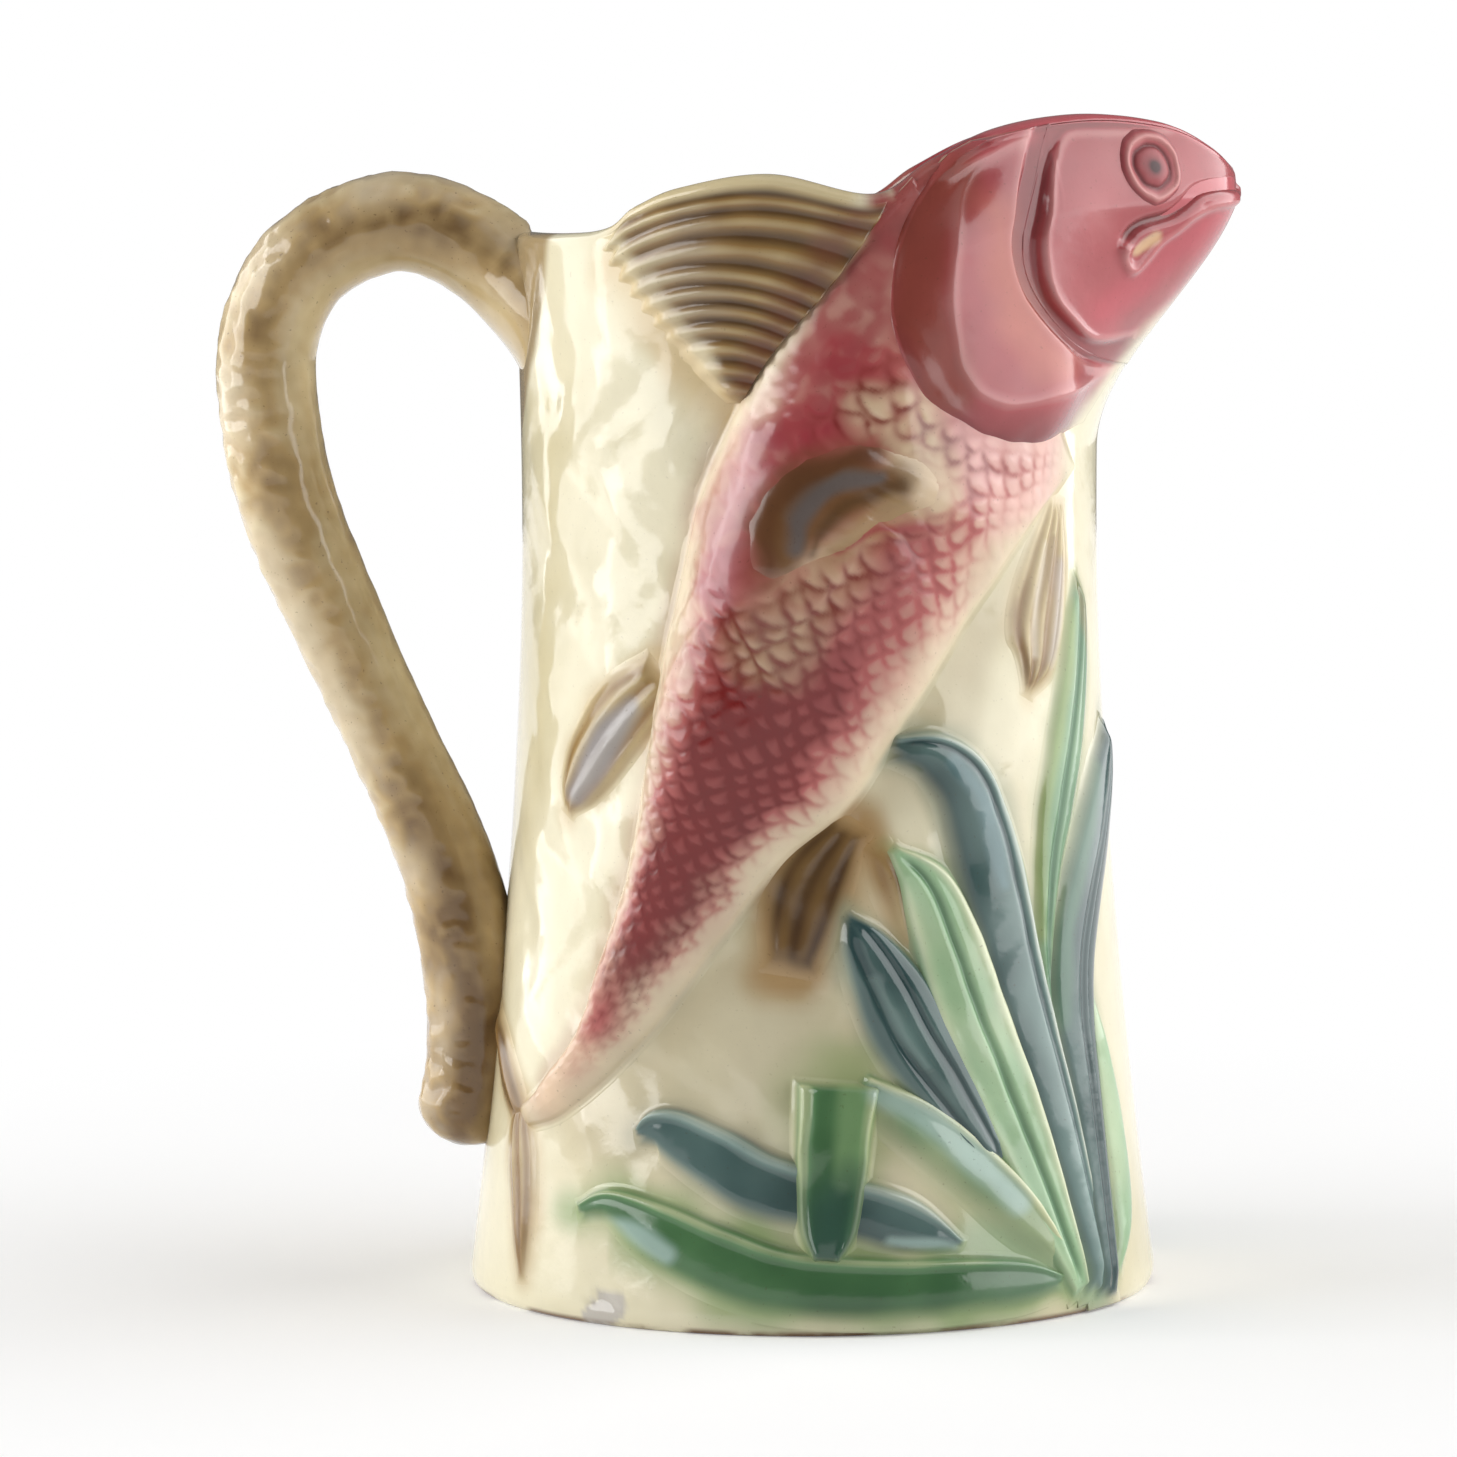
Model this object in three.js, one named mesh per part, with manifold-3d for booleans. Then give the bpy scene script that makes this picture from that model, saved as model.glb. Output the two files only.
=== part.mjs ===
// Barbotine jug with a leaping fish and reeds in applied relief.
// Millimetres, +Z up, the foot's face at z = 0 and the body's axis on Z.
// The spout points to +X and the handle to -X. Angles run round the body from the spout (0 degrees)
// over the -Y side (90 degrees) to the handle (180 degrees); the +Y side mirrors it.
import * as THREE from 'three';
import { mergeVertices } from 'three/addons/utils/BufferGeometryUtils.js';
import Module from 'manifold-3d';

const wasm = await Module();
wasm.setup();

// Gap left by the slip that lutes one piece to the next
const SLIP_GAP = 0.3;

// Body
const FOOT_RADIUS = 65.2;
const FOOT_ROUND = 4;
const WAIST_RADIUS = 54;
const WAIST_HEIGHT = 145;
const WAIST_CURVE = 1.7;
const MOUTH_RADIUS = 55.2;
const WALL_THICKNESS = 6;
const RIM_ROUND = 2;
const BASE_THICKNESS = 8;

// Spout, a beak swelling out of the body
const SPOUT_REACH = 26;
const SPOUT_SPREAD = 27;
const THROAT_HEIGHT = 158;
const THROAT_RISE = 52;
const LIP_SEAM_BACK = 26;
const LIP_SEAM_CORNER = 24;

// Rim heights, from the snout back to the handle
const SNOUT_HEIGHT = 206;
const BROW_HEIGHT = 219.6;
const NAPE_HEIGHT = 204.8;
const FIN_CREST_HEIGHT = 208.4;
const BACK_RIM_HEIGHT = 198.4;
const SNOUT_SLOPE = 5.5;
const BROW_SLOPE = 2.4;
const NAPE_SLOPE = 6.6;
const FIN_SLOPE = 2.2;
const FIN_HEEL = 4.6;
const RIM_LINE = [
  [0, SNOUT_HEIGHT],
  [10, SNOUT_HEIGHT + SNOUT_SLOPE],
  [20, BROW_HEIGHT - BROW_SLOPE],
  [34, BROW_HEIGHT],
  [52, BROW_HEIGHT - BROW_SLOPE],
  [66, NAPE_HEIGHT + NAPE_SLOPE],
  [78, NAPE_HEIGHT],
  [98, FIN_CREST_HEIGHT],
  [116, FIN_CREST_HEIGHT - FIN_SLOPE],
  [126, BACK_RIM_HEIGHT + FIN_HEEL],
  [138, BACK_RIM_HEIGHT],
  [180, BACK_RIM_HEIGHT],
];

// Handle: standoff of its centre line from the body, and height as a share of the back rim's
const HANDLE_HALF_THICKNESS = 9.4;
const HANDLE_HALF_WIDTH = 10;
const HANDLE_LINE = [
  [-6, 0.917],
  [7, 0.985],
  [22, 1.01],
  [38, 0.978],
  [46, 0.917],
  [47.5, 0.847],
  [44, 0.743],
  [34.5, 0.63],
  [23.3, 0.517],
  [13, 0.413],
  [6.3, 0.312],
  [3.6, 0.212],
  [5, 0.131],
];

// Swell of the sprigs over the body
const SPRIG_EDGE = 0.9;
const REED_SWELL = 2.2;
const FIN_SWELL = 2.4;
const GILL_SWELL = 7;
const CHEEK_SWELL = 4.5;
const EYE_RADIUS = 6.3;
const EYE_STEM = 3;
const EYE_SWELL = 2.4;
const EYE_SHOULDER = 0.8;
const EYE_SHOULDER_RISE = 0.6;
const PECTORAL_LIFT = 7.5;
const PECTORAL_EDGE = 3.6;

// Fish flank: back edge, belly edge (angle and height of each) and swell, from tail to head
const FLANK = [
  [144, 45, 137, 43, 3],
  [132, 63, 120, 57, 5],
  [126, 80, 108, 71, 7],
  [123, 98, 96, 85, 9],
  [121, 113, 85, 94, 11],
  [117, 131, 75, 107, 12],
  [112, 150, 65, 121, 11.5],
  [104, 167, 53, 135, 9.5],
  [93, 182, 40, 147, 6.5],
  [80, 202, 26, 156, 3.5],
];

// Gill cover: rear edge and front edge, from the nape down to the throat
const GILL_COVER = [
  [59, 211, 47, 213, 1],
  [68, 202, 50, 205, 3],
  [74, 189, 51.5, 197, GILL_SWELL],
  [75, 176, 50, 190, GILL_SWELL],
  [68, 165, 44, 183.5, GILL_SWELL],
  [54, 160, 35, 179, GILL_SWELL],
  [35, 160, 24, 175, 2],
];

// Cheek with the mouth: rear edge and snout edge, from the brow down to the jaw
const CHEEK = [
  [40, 215, 21, 213, 1],
  [44, 207, 9, 207, CHEEK_SWELL],
  [46, 198, 8, 201, CHEEK_SWELL],
  [44, 189, 10, 193, CHEEK_SWELL],
  [37, 183, 13, 185, CHEEK_SWELL],
  [29, 178, 18, 177, 1],
];
const MOUTH_FLOOR = 1.6;
const MOUTH_LINE = [
  [26, 195.5, 0.4],
  [22, 199, 0.6],
  [16, 202.5, 0.6],
  [6, 206, 0.6],
];
const EYE_PLACE = [25, 209];

// Dorsal fin under the rim: angle and height of its lower edge
const DORSAL_RIM_DROP = 3.5;
const DORSAL_FIN = [
  [132, 191],
  [125, 186],
  [117, 179],
  [110, 172],
  [104, 166],
  [97, 176],
  [90, 185],
  [82, 197],
];

// Other fins: centre line (angle and height) and half width, from the front to the tip
const PECTORAL_FIN = [
  [73, 154, 4],
  [80, 154.5, 7.5],
  [89, 151, 8.5],
  [96, 143, 6],
  [99, 136, 1.5],
];
const FINS = {
  back_fin: [
    [121, 121, 1.5],
    [129, 113, 5.5],
    [135, 104, 6.5],
    [139, 96, 4.5],
    [141, 91, 1],
  ],
  pelvic_fin: [
    [36, 148, 2],
    [41, 138, 5],
    [42.5, 128, 6],
    [45, 120, 3.5],
    [48, 115.5, 0.8],
  ],
  anal_fin: [
    [83, 92, 3],
    [87, 83, 6.5],
    [90, 75, 5.5],
    [91, 66, 2],
  ],
  tail_fin: [
    [166, 51, 1.2],
    [157, 46.5, 3.5],
    [150, 41, 5],
    [148.5, 32, 4],
    [148.5, 20, 3.2],
    [147, 9, 1.2],
  ],
};

// Reeds: centre line (angle and height) and half width, from the tip to the root
const REEDS = {
  folded_reed: [
    [87.5, 17, 1.5],
    [88, 26, 4.5],
    [87, 38, 6],
    [82, 44, 4],
    [73, 37.5, 4.5],
    [62, 28, 4.4],
    [54, 19.5, 3.8],
    [47, 11, 1.6],
  ],
  broad_reed: [
    [75.5, 86.5, 0.8],
    [69.5, 80, 4.6],
    [65.5, 70, 5.6],
    [62, 57, 5.8],
    [56.5, 43, 5.2],
    [51.5, 30, 3.6],
    [46.5, 18, 1.6],
  ],
  hooked_reed: [
    [75, 105.5, 0.8],
    [67, 103.5, 3.8],
    [59.5, 99, 5],
    [55, 90, 5.4],
    [52.5, 78, 5],
    [50, 64, 4.5],
    [47, 49, 4],
    [43, 32, 3.2],
    [40.5, 18, 1.6],
  ],
  front_reed: [
    [13, 106, 0.8],
    [20, 98, 4.6],
    [27, 88, 5.2],
    [33, 78, 5],
    [37, 66, 4.6],
    [37, 54, 4],
    [35.5, 41, 3.4],
    [35.5, 24, 2.4],
    [36, 12, 1.2],
  ],
  short_reed: [
    [84.5, 75.5, 0.8],
    [81.5, 70, 3.6],
    [77, 61.5, 4.8],
    [72.5, 53, 4.4],
    [67.5, 45, 3.4],
    [62, 37, 1.6],
  ],
  edge_reed: [
    [32, 62, 0.8],
    [30, 48, 3],
    [28, 33, 4],
    [27.5, 18, 3.4],
    [30, 7, 1],
  ],
  slim_reed: [
    [29, 134, 0.8],
    [28.5, 124, 3.8],
    [33, 112, 3.8],
    [39, 100, 2.8],
    [43.5, 88, 1.2],
  ],
  foot_reed: [
    [133, 20.5, 0.8],
    [126, 21.5, 3],
    [117, 18, 5.4],
    [107, 13.5, 5.4],
    [96, 9.6, 4.2],
    [80, 8.8, 4],
    [62, 8.8, 4],
    [48, 8, 2.6],
    [40, 6.5, 1],
  ],
  outer_reed: [
    [121.5, 35.5, 0.8],
    [116, 36, 4.2],
    [108, 32, 5.6],
    [100, 27.5, 5.4],
    [95, 25.5, 4.6],
  ],
  inner_reed: [
    [81, 22, 5],
    [74, 19, 4.6],
    [66, 16, 1],
  ],
};

// Mesh fineness
const BODY_TURNS = 52;
const TURN_BIAS = 1.3;
const OUTER_ROWS = [6, 8];
const INNER_ROWS = [3, 5];
const FOOT_ROWS = 3;
const HANDLE_STEPS = 30;
const HANDLE_SIDES = 10;
const EYE_SIDES = 16;
const RIM_SAMPLES = 240;
const SEAM_SEGMENTS = 6;
const PROBE = 0.05;
const CUTTER_RISE = 20;

// Steps along each sprig and columns across it; a ribbon has so many steps to each stretch of its line
const GILL_GRID = [10, 5];
const CHEEK_GRID = [8, 6];
const MOUTH_GRID = [6, 2];
const FLANK_GRID = [16, 8];
const DORSAL_GRID = [12, 4];
const PECTORAL_GRID = [8, 4];
const RIBBON_STEPS = 2;
const FIN_COLUMNS = 4;
const REED_COLUMNS = 2;

const radians = THREE.MathUtils.degToRad;

const rimCurve = new THREE.CatmullRomCurve3(
  RIM_LINE.map(([angle, height]) => new THREE.Vector3(angle, height, 0)),
);
const rimSamples = rimCurve.getPoints(RIM_SAMPLES);

/** Rim height at an angle of -180 to 180 degrees from the spout. */
function rimHeight(angle) {
  const folded = Math.abs(angle);
  const next = Math.max(1, rimSamples.findIndex((sample) => sample.x >= folded));
  const low = rimSamples[next - 1];
  const high = rimSamples[next];
  return THREE.MathUtils.mapLinear(folded, low.x, high.x, low.y, high.y);
}

/** Outer radius of the body at an angle in degrees and a height, the spout included. */
function bodyRadius(angle, z) {
  const below = Math.max(0, 1 - z / WAIST_HEIGHT);
  const above = Math.max(0, (z - WAIST_HEIGHT) / (BACK_RIM_HEIGHT - WAIST_HEIGHT));
  const round = WAIST_RADIUS
    + (FOOT_RADIUS - WAIST_RADIUS) * below ** WAIST_CURVE
    + (MOUTH_RADIUS - WAIST_RADIUS) * above ** 2;
  const swell = THREE.MathUtils.smoothstep(z, THROAT_HEIGHT, THROAT_HEIGHT + THROAT_RISE);
  return round + SPOUT_REACH * swell * Math.exp(-((angle / SPOUT_SPREAD) ** 2));
}

/** A point beside the axis at an angle in degrees. */
function turned(radius, angle, z) {
  const turn = radians(angle);
  return new THREE.Vector3(radius * Math.cos(turn), -radius * Math.sin(turn), z);
}

/** A point on the body's outer face, lifted off it square to the face. */
function onBody(angle, z, lift) {
  const face = (a, h) => turned(bodyRadius(a, h), a, h);
  const point = face(angle, z);
  const round = face(angle + PROBE, z).sub(face(angle - PROBE, z));
  const rise = face(angle, z + PROBE).sub(face(angle, z - PROBE));
  return point.addScaledVector(rise.cross(round).normalize(), lift);
}

/** A closed geometry from points and triangles. */
function closedGeometry(points, triangles) {
  const geometry = new THREE.BufferGeometry();
  geometry.setAttribute('position', new THREE.Float32BufferAttribute(points.flatMap((p) => p.toArray()), 3));
  geometry.setIndex(triangles);
  return geometry;
}

/** The two triangles of a four-sided face. */
function quad(a, b, c, d) {
  return [a, b, c, a, c, d];
}

/** A geometry that loops rings of equal length, capped at both ends or closed on itself. */
function loft(rings, closed) {
  const sides = rings[0].length;
  const points = rings.flat();
  const triangles = [];
  const spans = closed ? rings.length : rings.length - 1;
  for (let ring = 0; ring < spans; ring += 1) {
    const here = ring * sides;
    const there = ((ring + 1) % rings.length) * sides;
    for (let side = 0; side < sides; side += 1) {
      const next = (side + 1) % sides;
      triangles.push(...quad(here + side, here + next, there + next, there + side));
    }
  }
  if (!closed) {
    const last = (rings.length - 1) * sides;
    for (let side = 1; side < sides - 1; side += 1) {
      triangles.push(0, side + 1, side);
      triangles.push(last, last + side, last + side + 1);
    }
  }
  return closedGeometry(points, triangles);
}

/** A solid for cutting and joining, with shared corners merged and its faces turned out. */
function solid(geometry) {
  geometry.deleteAttribute('normal');
  geometry.deleteAttribute('uv');
  const merged = mergeVertices(geometry);
  const vertProperties = new Float32Array(merged.getAttribute('position').array);
  const corners = merged.index.array;
  const kept = [];
  for (let at = 0; at < corners.length; at += 3) {
    const [a, b, c] = corners.slice(at, at + 3);
    if (a !== b && b !== c && c !== a) kept.push(a, b, c);
  }
  const build = (triangles) => new wasm.Manifold(
    new wasm.Mesh({ numProp: 3, vertProperties, triVerts: new Uint32Array(triangles) }),
  );
  const body = build(kept);
  return body.volume() > 0 ? body : build(kept.reverse());
}

/** The largest of the bodies that a cut leaves. */
function mainBody(cut) {
  return cut.decompose().reduce((best, body) => (body.volume() > best.volume() ? body : best));
}

/** A solid's geometry, mirrored to the far side if asked. */
function geometryOf(body, mirrored = false) {
  const mesh = body.getMesh();
  const points = new Float32Array(mesh.vertProperties);
  const triangles = new Uint32Array(mesh.triVerts);
  const geometry = new THREE.BufferGeometry();
  geometry.setAttribute('position', new THREE.BufferAttribute(points, 3));
  geometry.setIndex(new THREE.BufferAttribute(triangles, 1));
  if (mirrored) {
    geometry.scale(1, -1, 1);
    triangles.reverse();
  }
  return geometry;
}

/** The angles at which the body's wall is drawn, closest together at the spout. */
function turnAngles() {
  const angles = [];
  for (let turn = 0; turn < BODY_TURNS; turn += 1) {
    const share = (2 * turn) / BODY_TURNS - 1;
    angles.push(Math.sign(share) * 180 * Math.abs(share) ** TURN_BIAS);
  }
  return angles;
}

/** Heights up the wall at an angle, in so many rows up the body and up the spout. */
function wallHeights(angle, bottom, [bodyRows, spoutRows]) {
  const top = rimHeight(angle) - RIM_ROUND;
  const heights = [];
  for (let row = 0; row < bodyRows; row += 1) {
    heights.push(THREE.MathUtils.lerp(bottom, THROAT_HEIGHT, row / bodyRows));
  }
  for (let row = 0; row <= spoutRows; row += 1) {
    heights.push(THREE.MathUtils.lerp(THROAT_HEIGHT, top, row / spoutRows));
  }
  return heights;
}

/** The outer face of the wall at an angle, from the foot's round up to below the rim. */
function outerSection(angle, margin) {
  const section = [];
  for (let row = 0; row < FOOT_ROWS; row += 1) {
    const sweep = (row / FOOT_ROWS) * (Math.PI / 2);
    const z = FOOT_ROUND * (1 - Math.cos(sweep));
    section.push(turned(bodyRadius(angle, z) - FOOT_ROUND * (1 - Math.sin(sweep)) + margin, angle, z));
  }
  wallHeights(angle, FOOT_ROUND, OUTER_ROWS).forEach((z) => {
    section.push(turned(bodyRadius(angle, z) + margin, angle, z));
  });
  return section;
}

/** The whole shell of body and spout, as sections of wall round the axis. */
function bodyShell() {
  const seat = bodyRadius(180, BASE_THICKNESS) - WALL_THICKNESS;
  const sections = turnAngles().map((angle) => {
    const top = rimHeight(angle);
    const rim = bodyRadius(angle, top);
    const section = outerSection(angle, 0);
    section.push(turned(rim - RIM_ROUND, angle, top));
    section.push(turned(rim - WALL_THICKNESS + RIM_ROUND, angle, top));
    wallHeights(angle, BASE_THICKNESS, INNER_ROWS).reverse().forEach((z) => {
      section.push(turned(bodyRadius(angle, z) - WALL_THICKNESS, angle, z));
    });
    section.push(turned(seat, angle, 0));
    return section;
  });
  return solid(loft(sections, true));
}

/** A plug that fills the body with a margin round it, for cutting what is laid against it. */
function bodyPlug(margin) {
  const top = BROW_HEIGHT + SPOUT_REACH;
  const sections = turnAngles().map((angle) => {
    const section = outerSection(angle, margin);
    const rim = section.at(-1);
    section.push(new THREE.Vector3(rim.x, rim.y, top));
    section.push(new THREE.Vector3(0, 0, top));
    section.push(new THREE.Vector3(0, 0, 0));
    return section;
  });
  return solid(loft(sections, true));
}

/** A prism that parts the pouring lip from the body, seen from the side. */
function lipPrism(margin) {
  const back = LIP_SEAM_BACK - margin;
  const low = THROAT_HEIGHT - margin;
  const front = WAIST_RADIUS + 2 * SPOUT_REACH;
  const top = BROW_HEIGHT + SPOUT_REACH;
  const outline = new THREE.Shape();
  outline.moveTo(back, top);
  outline.lineTo(back, low + LIP_SEAM_CORNER);
  outline.quadraticCurveTo(back, low, back + LIP_SEAM_CORNER, low);
  outline.lineTo(front, low);
  outline.lineTo(front, top);
  outline.closePath();
  const depth = 2 * front;
  const settings = { depth, bevelEnabled: false, curveSegments: SEAM_SEGMENTS };
  const geometry = new THREE.ExtrudeGeometry(outline, settings);
  geometry.rotateX(Math.PI / 2);
  geometry.translate(0, depth / 2, 0);
  return solid(geometry);
}

/** The base, a disc let into the foot of the wall. */
function baseDisc() {
  const radius = bodyRadius(180, BASE_THICKNESS) - WALL_THICKNESS - SLIP_GAP;
  const geometry = new THREE.CylinderGeometry(radius, radius, BASE_THICKNESS, BODY_TURNS);
  geometry.rotateX(Math.PI / 2);
  geometry.translate(0, 0, BASE_THICKNESS / 2);
  return solid(geometry);
}

/** The loop handle, an oval section along its centre line, let on to the body at both ends. */
function handle(margin) {
  const line = new THREE.CatmullRomCurve3(HANDLE_LINE.map(([standoff, share]) => {
    const z = share * BACK_RIM_HEIGHT;
    return new THREE.Vector3(-bodyRadius(180, z) - standoff, 0, z);
  }));
  const across = new THREE.Vector3(0, 1, 0);
  const rings = [];
  for (let step = 0; step <= HANDLE_STEPS; step += 1) {
    const along = step / HANDLE_STEPS;
    const centre = line.getPointAt(along);
    const outward = line.getTangentAt(along).cross(across);
    const ring = [];
    for (let side = 0; side < HANDLE_SIDES; side += 1) {
      const turn = (side / HANDLE_SIDES) * 2 * Math.PI;
      ring.push(centre.clone()
        .addScaledVector(outward, (HANDLE_HALF_THICKNESS + margin) * Math.cos(turn))
        .addScaledVector(across, (HANDLE_HALF_WIDTH + margin) * Math.sin(turn)));
    }
    rings.push(ring);
  }
  return solid(loft(rings, false));
}

/** A point on the body laid flat: arc length at the waist, and height. */
function unrolled(angle, z) {
  return new THREE.Vector3(radians(angle) * WAIST_RADIUS, z, 0);
}

/** Rows across a ribbon, from its centre line and half widths. */
function ribbonRows(line, steps = RIBBON_STEPS * (line.length - 1)) {
  const curve = new THREE.CatmullRomCurve3(
    line.map(([angle, z, half]) => unrolled(angle, z).setZ(half)),
  );
  const rows = [];
  for (let step = 0; step <= steps; step += 1) {
    const along = step / steps;
    const centre = curve.getPoint(along);
    const run = curve.getTangent(along).setZ(0).normalize();
    const side = new THREE.Vector3(-run.y, run.x, 0).multiplyScalar(centre.z);
    centre.z = 0;
    rows.push({ from: centre.clone().sub(side), to: centre.clone().add(side), swell: 1 });
  }
  return rows;
}

/** Rows across a panel, from its two edges and the swell at each pair. */
function panelRows(pairs, [steps]) {
  const from = new THREE.CatmullRomCurve3(pairs.map(([angle, z]) => unrolled(angle, z)));
  const to = new THREE.CatmullRomCurve3(pairs.map((pair) => unrolled(pair[2], pair[3])));
  const swell = new THREE.CatmullRomCurve3(pairs.map((pair, at) => new THREE.Vector3(at, pair[4], 0)));
  const rows = [];
  for (let step = 0; step <= steps; step += 1) {
    const along = step / steps;
    rows.push({ from: from.getPoint(along), to: to.getPoint(along), swell: swell.getPoint(along).y });
  }
  return rows;
}

/**
 * A sprig pressed to the body: rows across it, a swell over its middle and a face that fits the wall.
 * With a margin it is the cutter that clears its place, and all above it, in what it is laid over.
 */
function sprig(rows, columns, swell, { margin, lift = 0, edge = SPRIG_EDGE }) {
  const clear = margin > 0 ? CUTTER_RISE : 0;
  const top = [];
  const under = [];
  const last = rows.length - 1;
  rows.forEach((row, at) => {
    const side = row.to.clone().sub(row.from).normalize().multiplyScalar(margin);
    const neighbour = rows[at === 0 ? 1 : at - 1];
    const shift = at === 0 || at === last ? margin : 0;
    const run = row.from.clone().add(row.to).sub(neighbour.from).sub(neighbour.to);
    run.normalize().multiplyScalar(shift);
    const from = row.from.clone().sub(side).add(run);
    const to = row.to.clone().add(side).add(run);
    for (let column = 0; column <= columns; column += 1) {
      const place = from.clone().lerp(to, column / columns);
      const angle = THREE.MathUtils.radToDeg(place.x / WAIST_RADIUS);
      const crown = 1 - ((2 * column) / columns - 1) ** 2;
      const height = SLIP_GAP + edge + lift + row.swell * swell * crown + clear;
      top.push(onBody(angle, place.y, height));
      under.push(onBody(angle, place.y, SLIP_GAP + lift - margin));
    }
  });
  return solid(sheetGeometry(top, under, rows.length, columns + 1));
}

/** A closed sheet between two grids of points. */
function sheetGeometry(top, under, rows, columns) {
  const below = top.length;
  const triangles = [];
  const at = (row, column) => row * columns + column;
  for (let row = 0; row < rows - 1; row += 1) {
    for (let column = 0; column < columns - 1; column += 1) {
      const corners = [at(row, column), at(row + 1, column), at(row + 1, column + 1), at(row, column + 1)];
      triangles.push(...quad(...corners));
      triangles.push(...quad(...corners.reverse().map((corner) => corner + below)));
    }
  }
  const border = [];
  for (let row = 0; row < rows - 1; row += 1) border.push(at(row, 0));
  for (let column = 0; column < columns - 1; column += 1) border.push(at(rows - 1, column));
  for (let row = rows - 1; row > 0; row -= 1) border.push(at(row, columns - 1));
  for (let column = columns - 1; column > 0; column -= 1) border.push(at(0, column));
  border.forEach((here, place) => {
    const next = border[(place + 1) % border.length];
    triangles.push(...quad(next, here, here + below, next + below));
  });
  return closedGeometry([...top, ...under], triangles);
}

/** The dorsal fin's rows, each running from the rim's edge down to the fin's lower edge. */
function dorsalRows([steps]) {
  const low = new THREE.CatmullRomCurve3(DORSAL_FIN.map(([angle, z]) => new THREE.Vector3(angle, z, 0)));
  const rows = [];
  for (let step = 0; step <= steps; step += 1) {
    const point = low.getPoint(step / steps);
    const rim = rimHeight(point.x) - DORSAL_RIM_DROP;
    rows.push({ from: unrolled(point.x, point.y), to: unrolled(point.x, rim), swell: 1 });
  }
  return rows;
}

/** The eye, a dome on a short stem that sits square to the cheek. */
function eye(margin) {
  const radius = EYE_RADIUS + margin;
  const stem = EYE_STEM + (margin > 0 ? CUTTER_RISE : 0);
  const profile = [
    new THREE.Vector2(0, SPRIG_EDGE - margin),
    new THREE.Vector2(radius, SPRIG_EDGE - margin),
    new THREE.Vector2(radius, stem),
    new THREE.Vector2(radius * EYE_SHOULDER, stem + EYE_SWELL * EYE_SHOULDER_RISE),
    new THREE.Vector2(0, stem + EYE_SWELL),
  ];
  const geometry = new THREE.LatheGeometry(profile, EYE_SIDES);
  const [angle, z] = EYE_PLACE;
  const seat = onBody(angle, z, 0);
  const outward = onBody(angle, z, 1).sub(seat);
  geometry.applyQuaternion(new THREE.Quaternion().setFromUnitVectors(new THREE.Vector3(0, 1, 0), outward));
  geometry.translate(...seat.toArray());
  return solid(geometry);
}

const GLAZES = {
  cream: { color: 0xe6dec0, roughness: 0.18 },
  biscuit: { color: 0xd8cba6, roughness: 0.6 },
  rose: { color: 0xc06a72, roughness: 0.15 },
  red: { color: 0x8c3236, roughness: 0.2 },
  umber: { color: 0x7a5a34, roughness: 0.2 },
  bark: { color: 0xa5916e, roughness: 0.25 },
  teal: { color: 0x4b6973, roughness: 0.18 },
  leaf: { color: 0x96b98c, roughness: 0.18 },
  green: { color: 0x325f37, roughness: 0.18 },
  ink: { color: 0x2a2320, roughness: 0.12 },
};

const REED_GLAZES = {
  folded_reed: 'green',
  broad_reed: 'leaf',
  hooked_reed: 'teal',
  front_reed: 'teal',
  short_reed: 'teal',
  edge_reed: 'leaf',
  slim_reed: 'leaf',
  foot_reed: 'green',
  outer_reed: 'teal',
  inner_reed: 'teal',
};

const jug = new THREE.Group();

/** Adds a named mesh of its own glaze to the jug. */
function addPiece(name, geometry, glaze) {
  const mesh = new THREE.Mesh(geometry, new THREE.MeshStandardMaterial({ ...GLAZES[glaze], metalness: 0 }));
  mesh.name = name;
  jug.add(mesh);
}

/** Adds a sprig on the near side and its mirror image on the far side. */
function addPair(name, body, glaze) {
  addPiece(`${name}_near`, geometryOf(body), glaze);
  addPiece(`${name}_far`, geometryOf(body, true), glaze);
}

const shell = bodyShell();
addPiece('body_wall', geometryOf(shell.subtract(lipPrism(SLIP_GAP))), 'cream');
addPiece('pouring_lip', geometryOf(shell.intersect(lipPrism(0))), 'cream');
addPiece('base_disc', geometryOf(baseDisc()), 'biscuit');
addPiece('handle', geometryOf(mainBody(handle(0).subtract(bodyPlug(SLIP_GAP)))), 'bark');

/** The cheek, with the line of the mouth cut into it. */
function cheek(margin) {
  const [mouthSteps, mouthColumns] = MOUTH_GRID;
  const cut = { margin: SLIP_GAP, lift: MOUTH_FLOOR };
  const mouth = sprig(ribbonRows(MOUTH_LINE, mouthSteps), mouthColumns, 0, cut);
  return panel(CHEEK, CHEEK_GRID)(margin).subtract(mouth);
}

/** The pectoral fin, let into the middle of the flank. */
function pectoralFin(margin) {
  const [steps, columns] = PECTORAL_GRID;
  const seat = { margin, lift: PECTORAL_LIFT, edge: PECTORAL_EDGE };
  return sprig(ribbonRows(PECTORAL_FIN, steps), columns, FIN_SWELL, seat);
}

/** The dorsal fin, hung from the rim. */
function dorsalFin(margin) {
  return sprig(dorsalRows(DORSAL_GRID), DORSAL_GRID[1], FIN_SWELL, { margin });
}

/** A maker of panel sprigs, whose swell comes with their edges. */
function panel(pairs, grid) {
  return (margin) => sprig(panelRows(pairs, grid), grid[1], 1, { margin });
}

/** A maker of ribbon sprigs. */
function ribbon(line, columns, swell) {
  return (margin) => sprig(ribbonRows(line), columns, swell, { margin });
}

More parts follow.
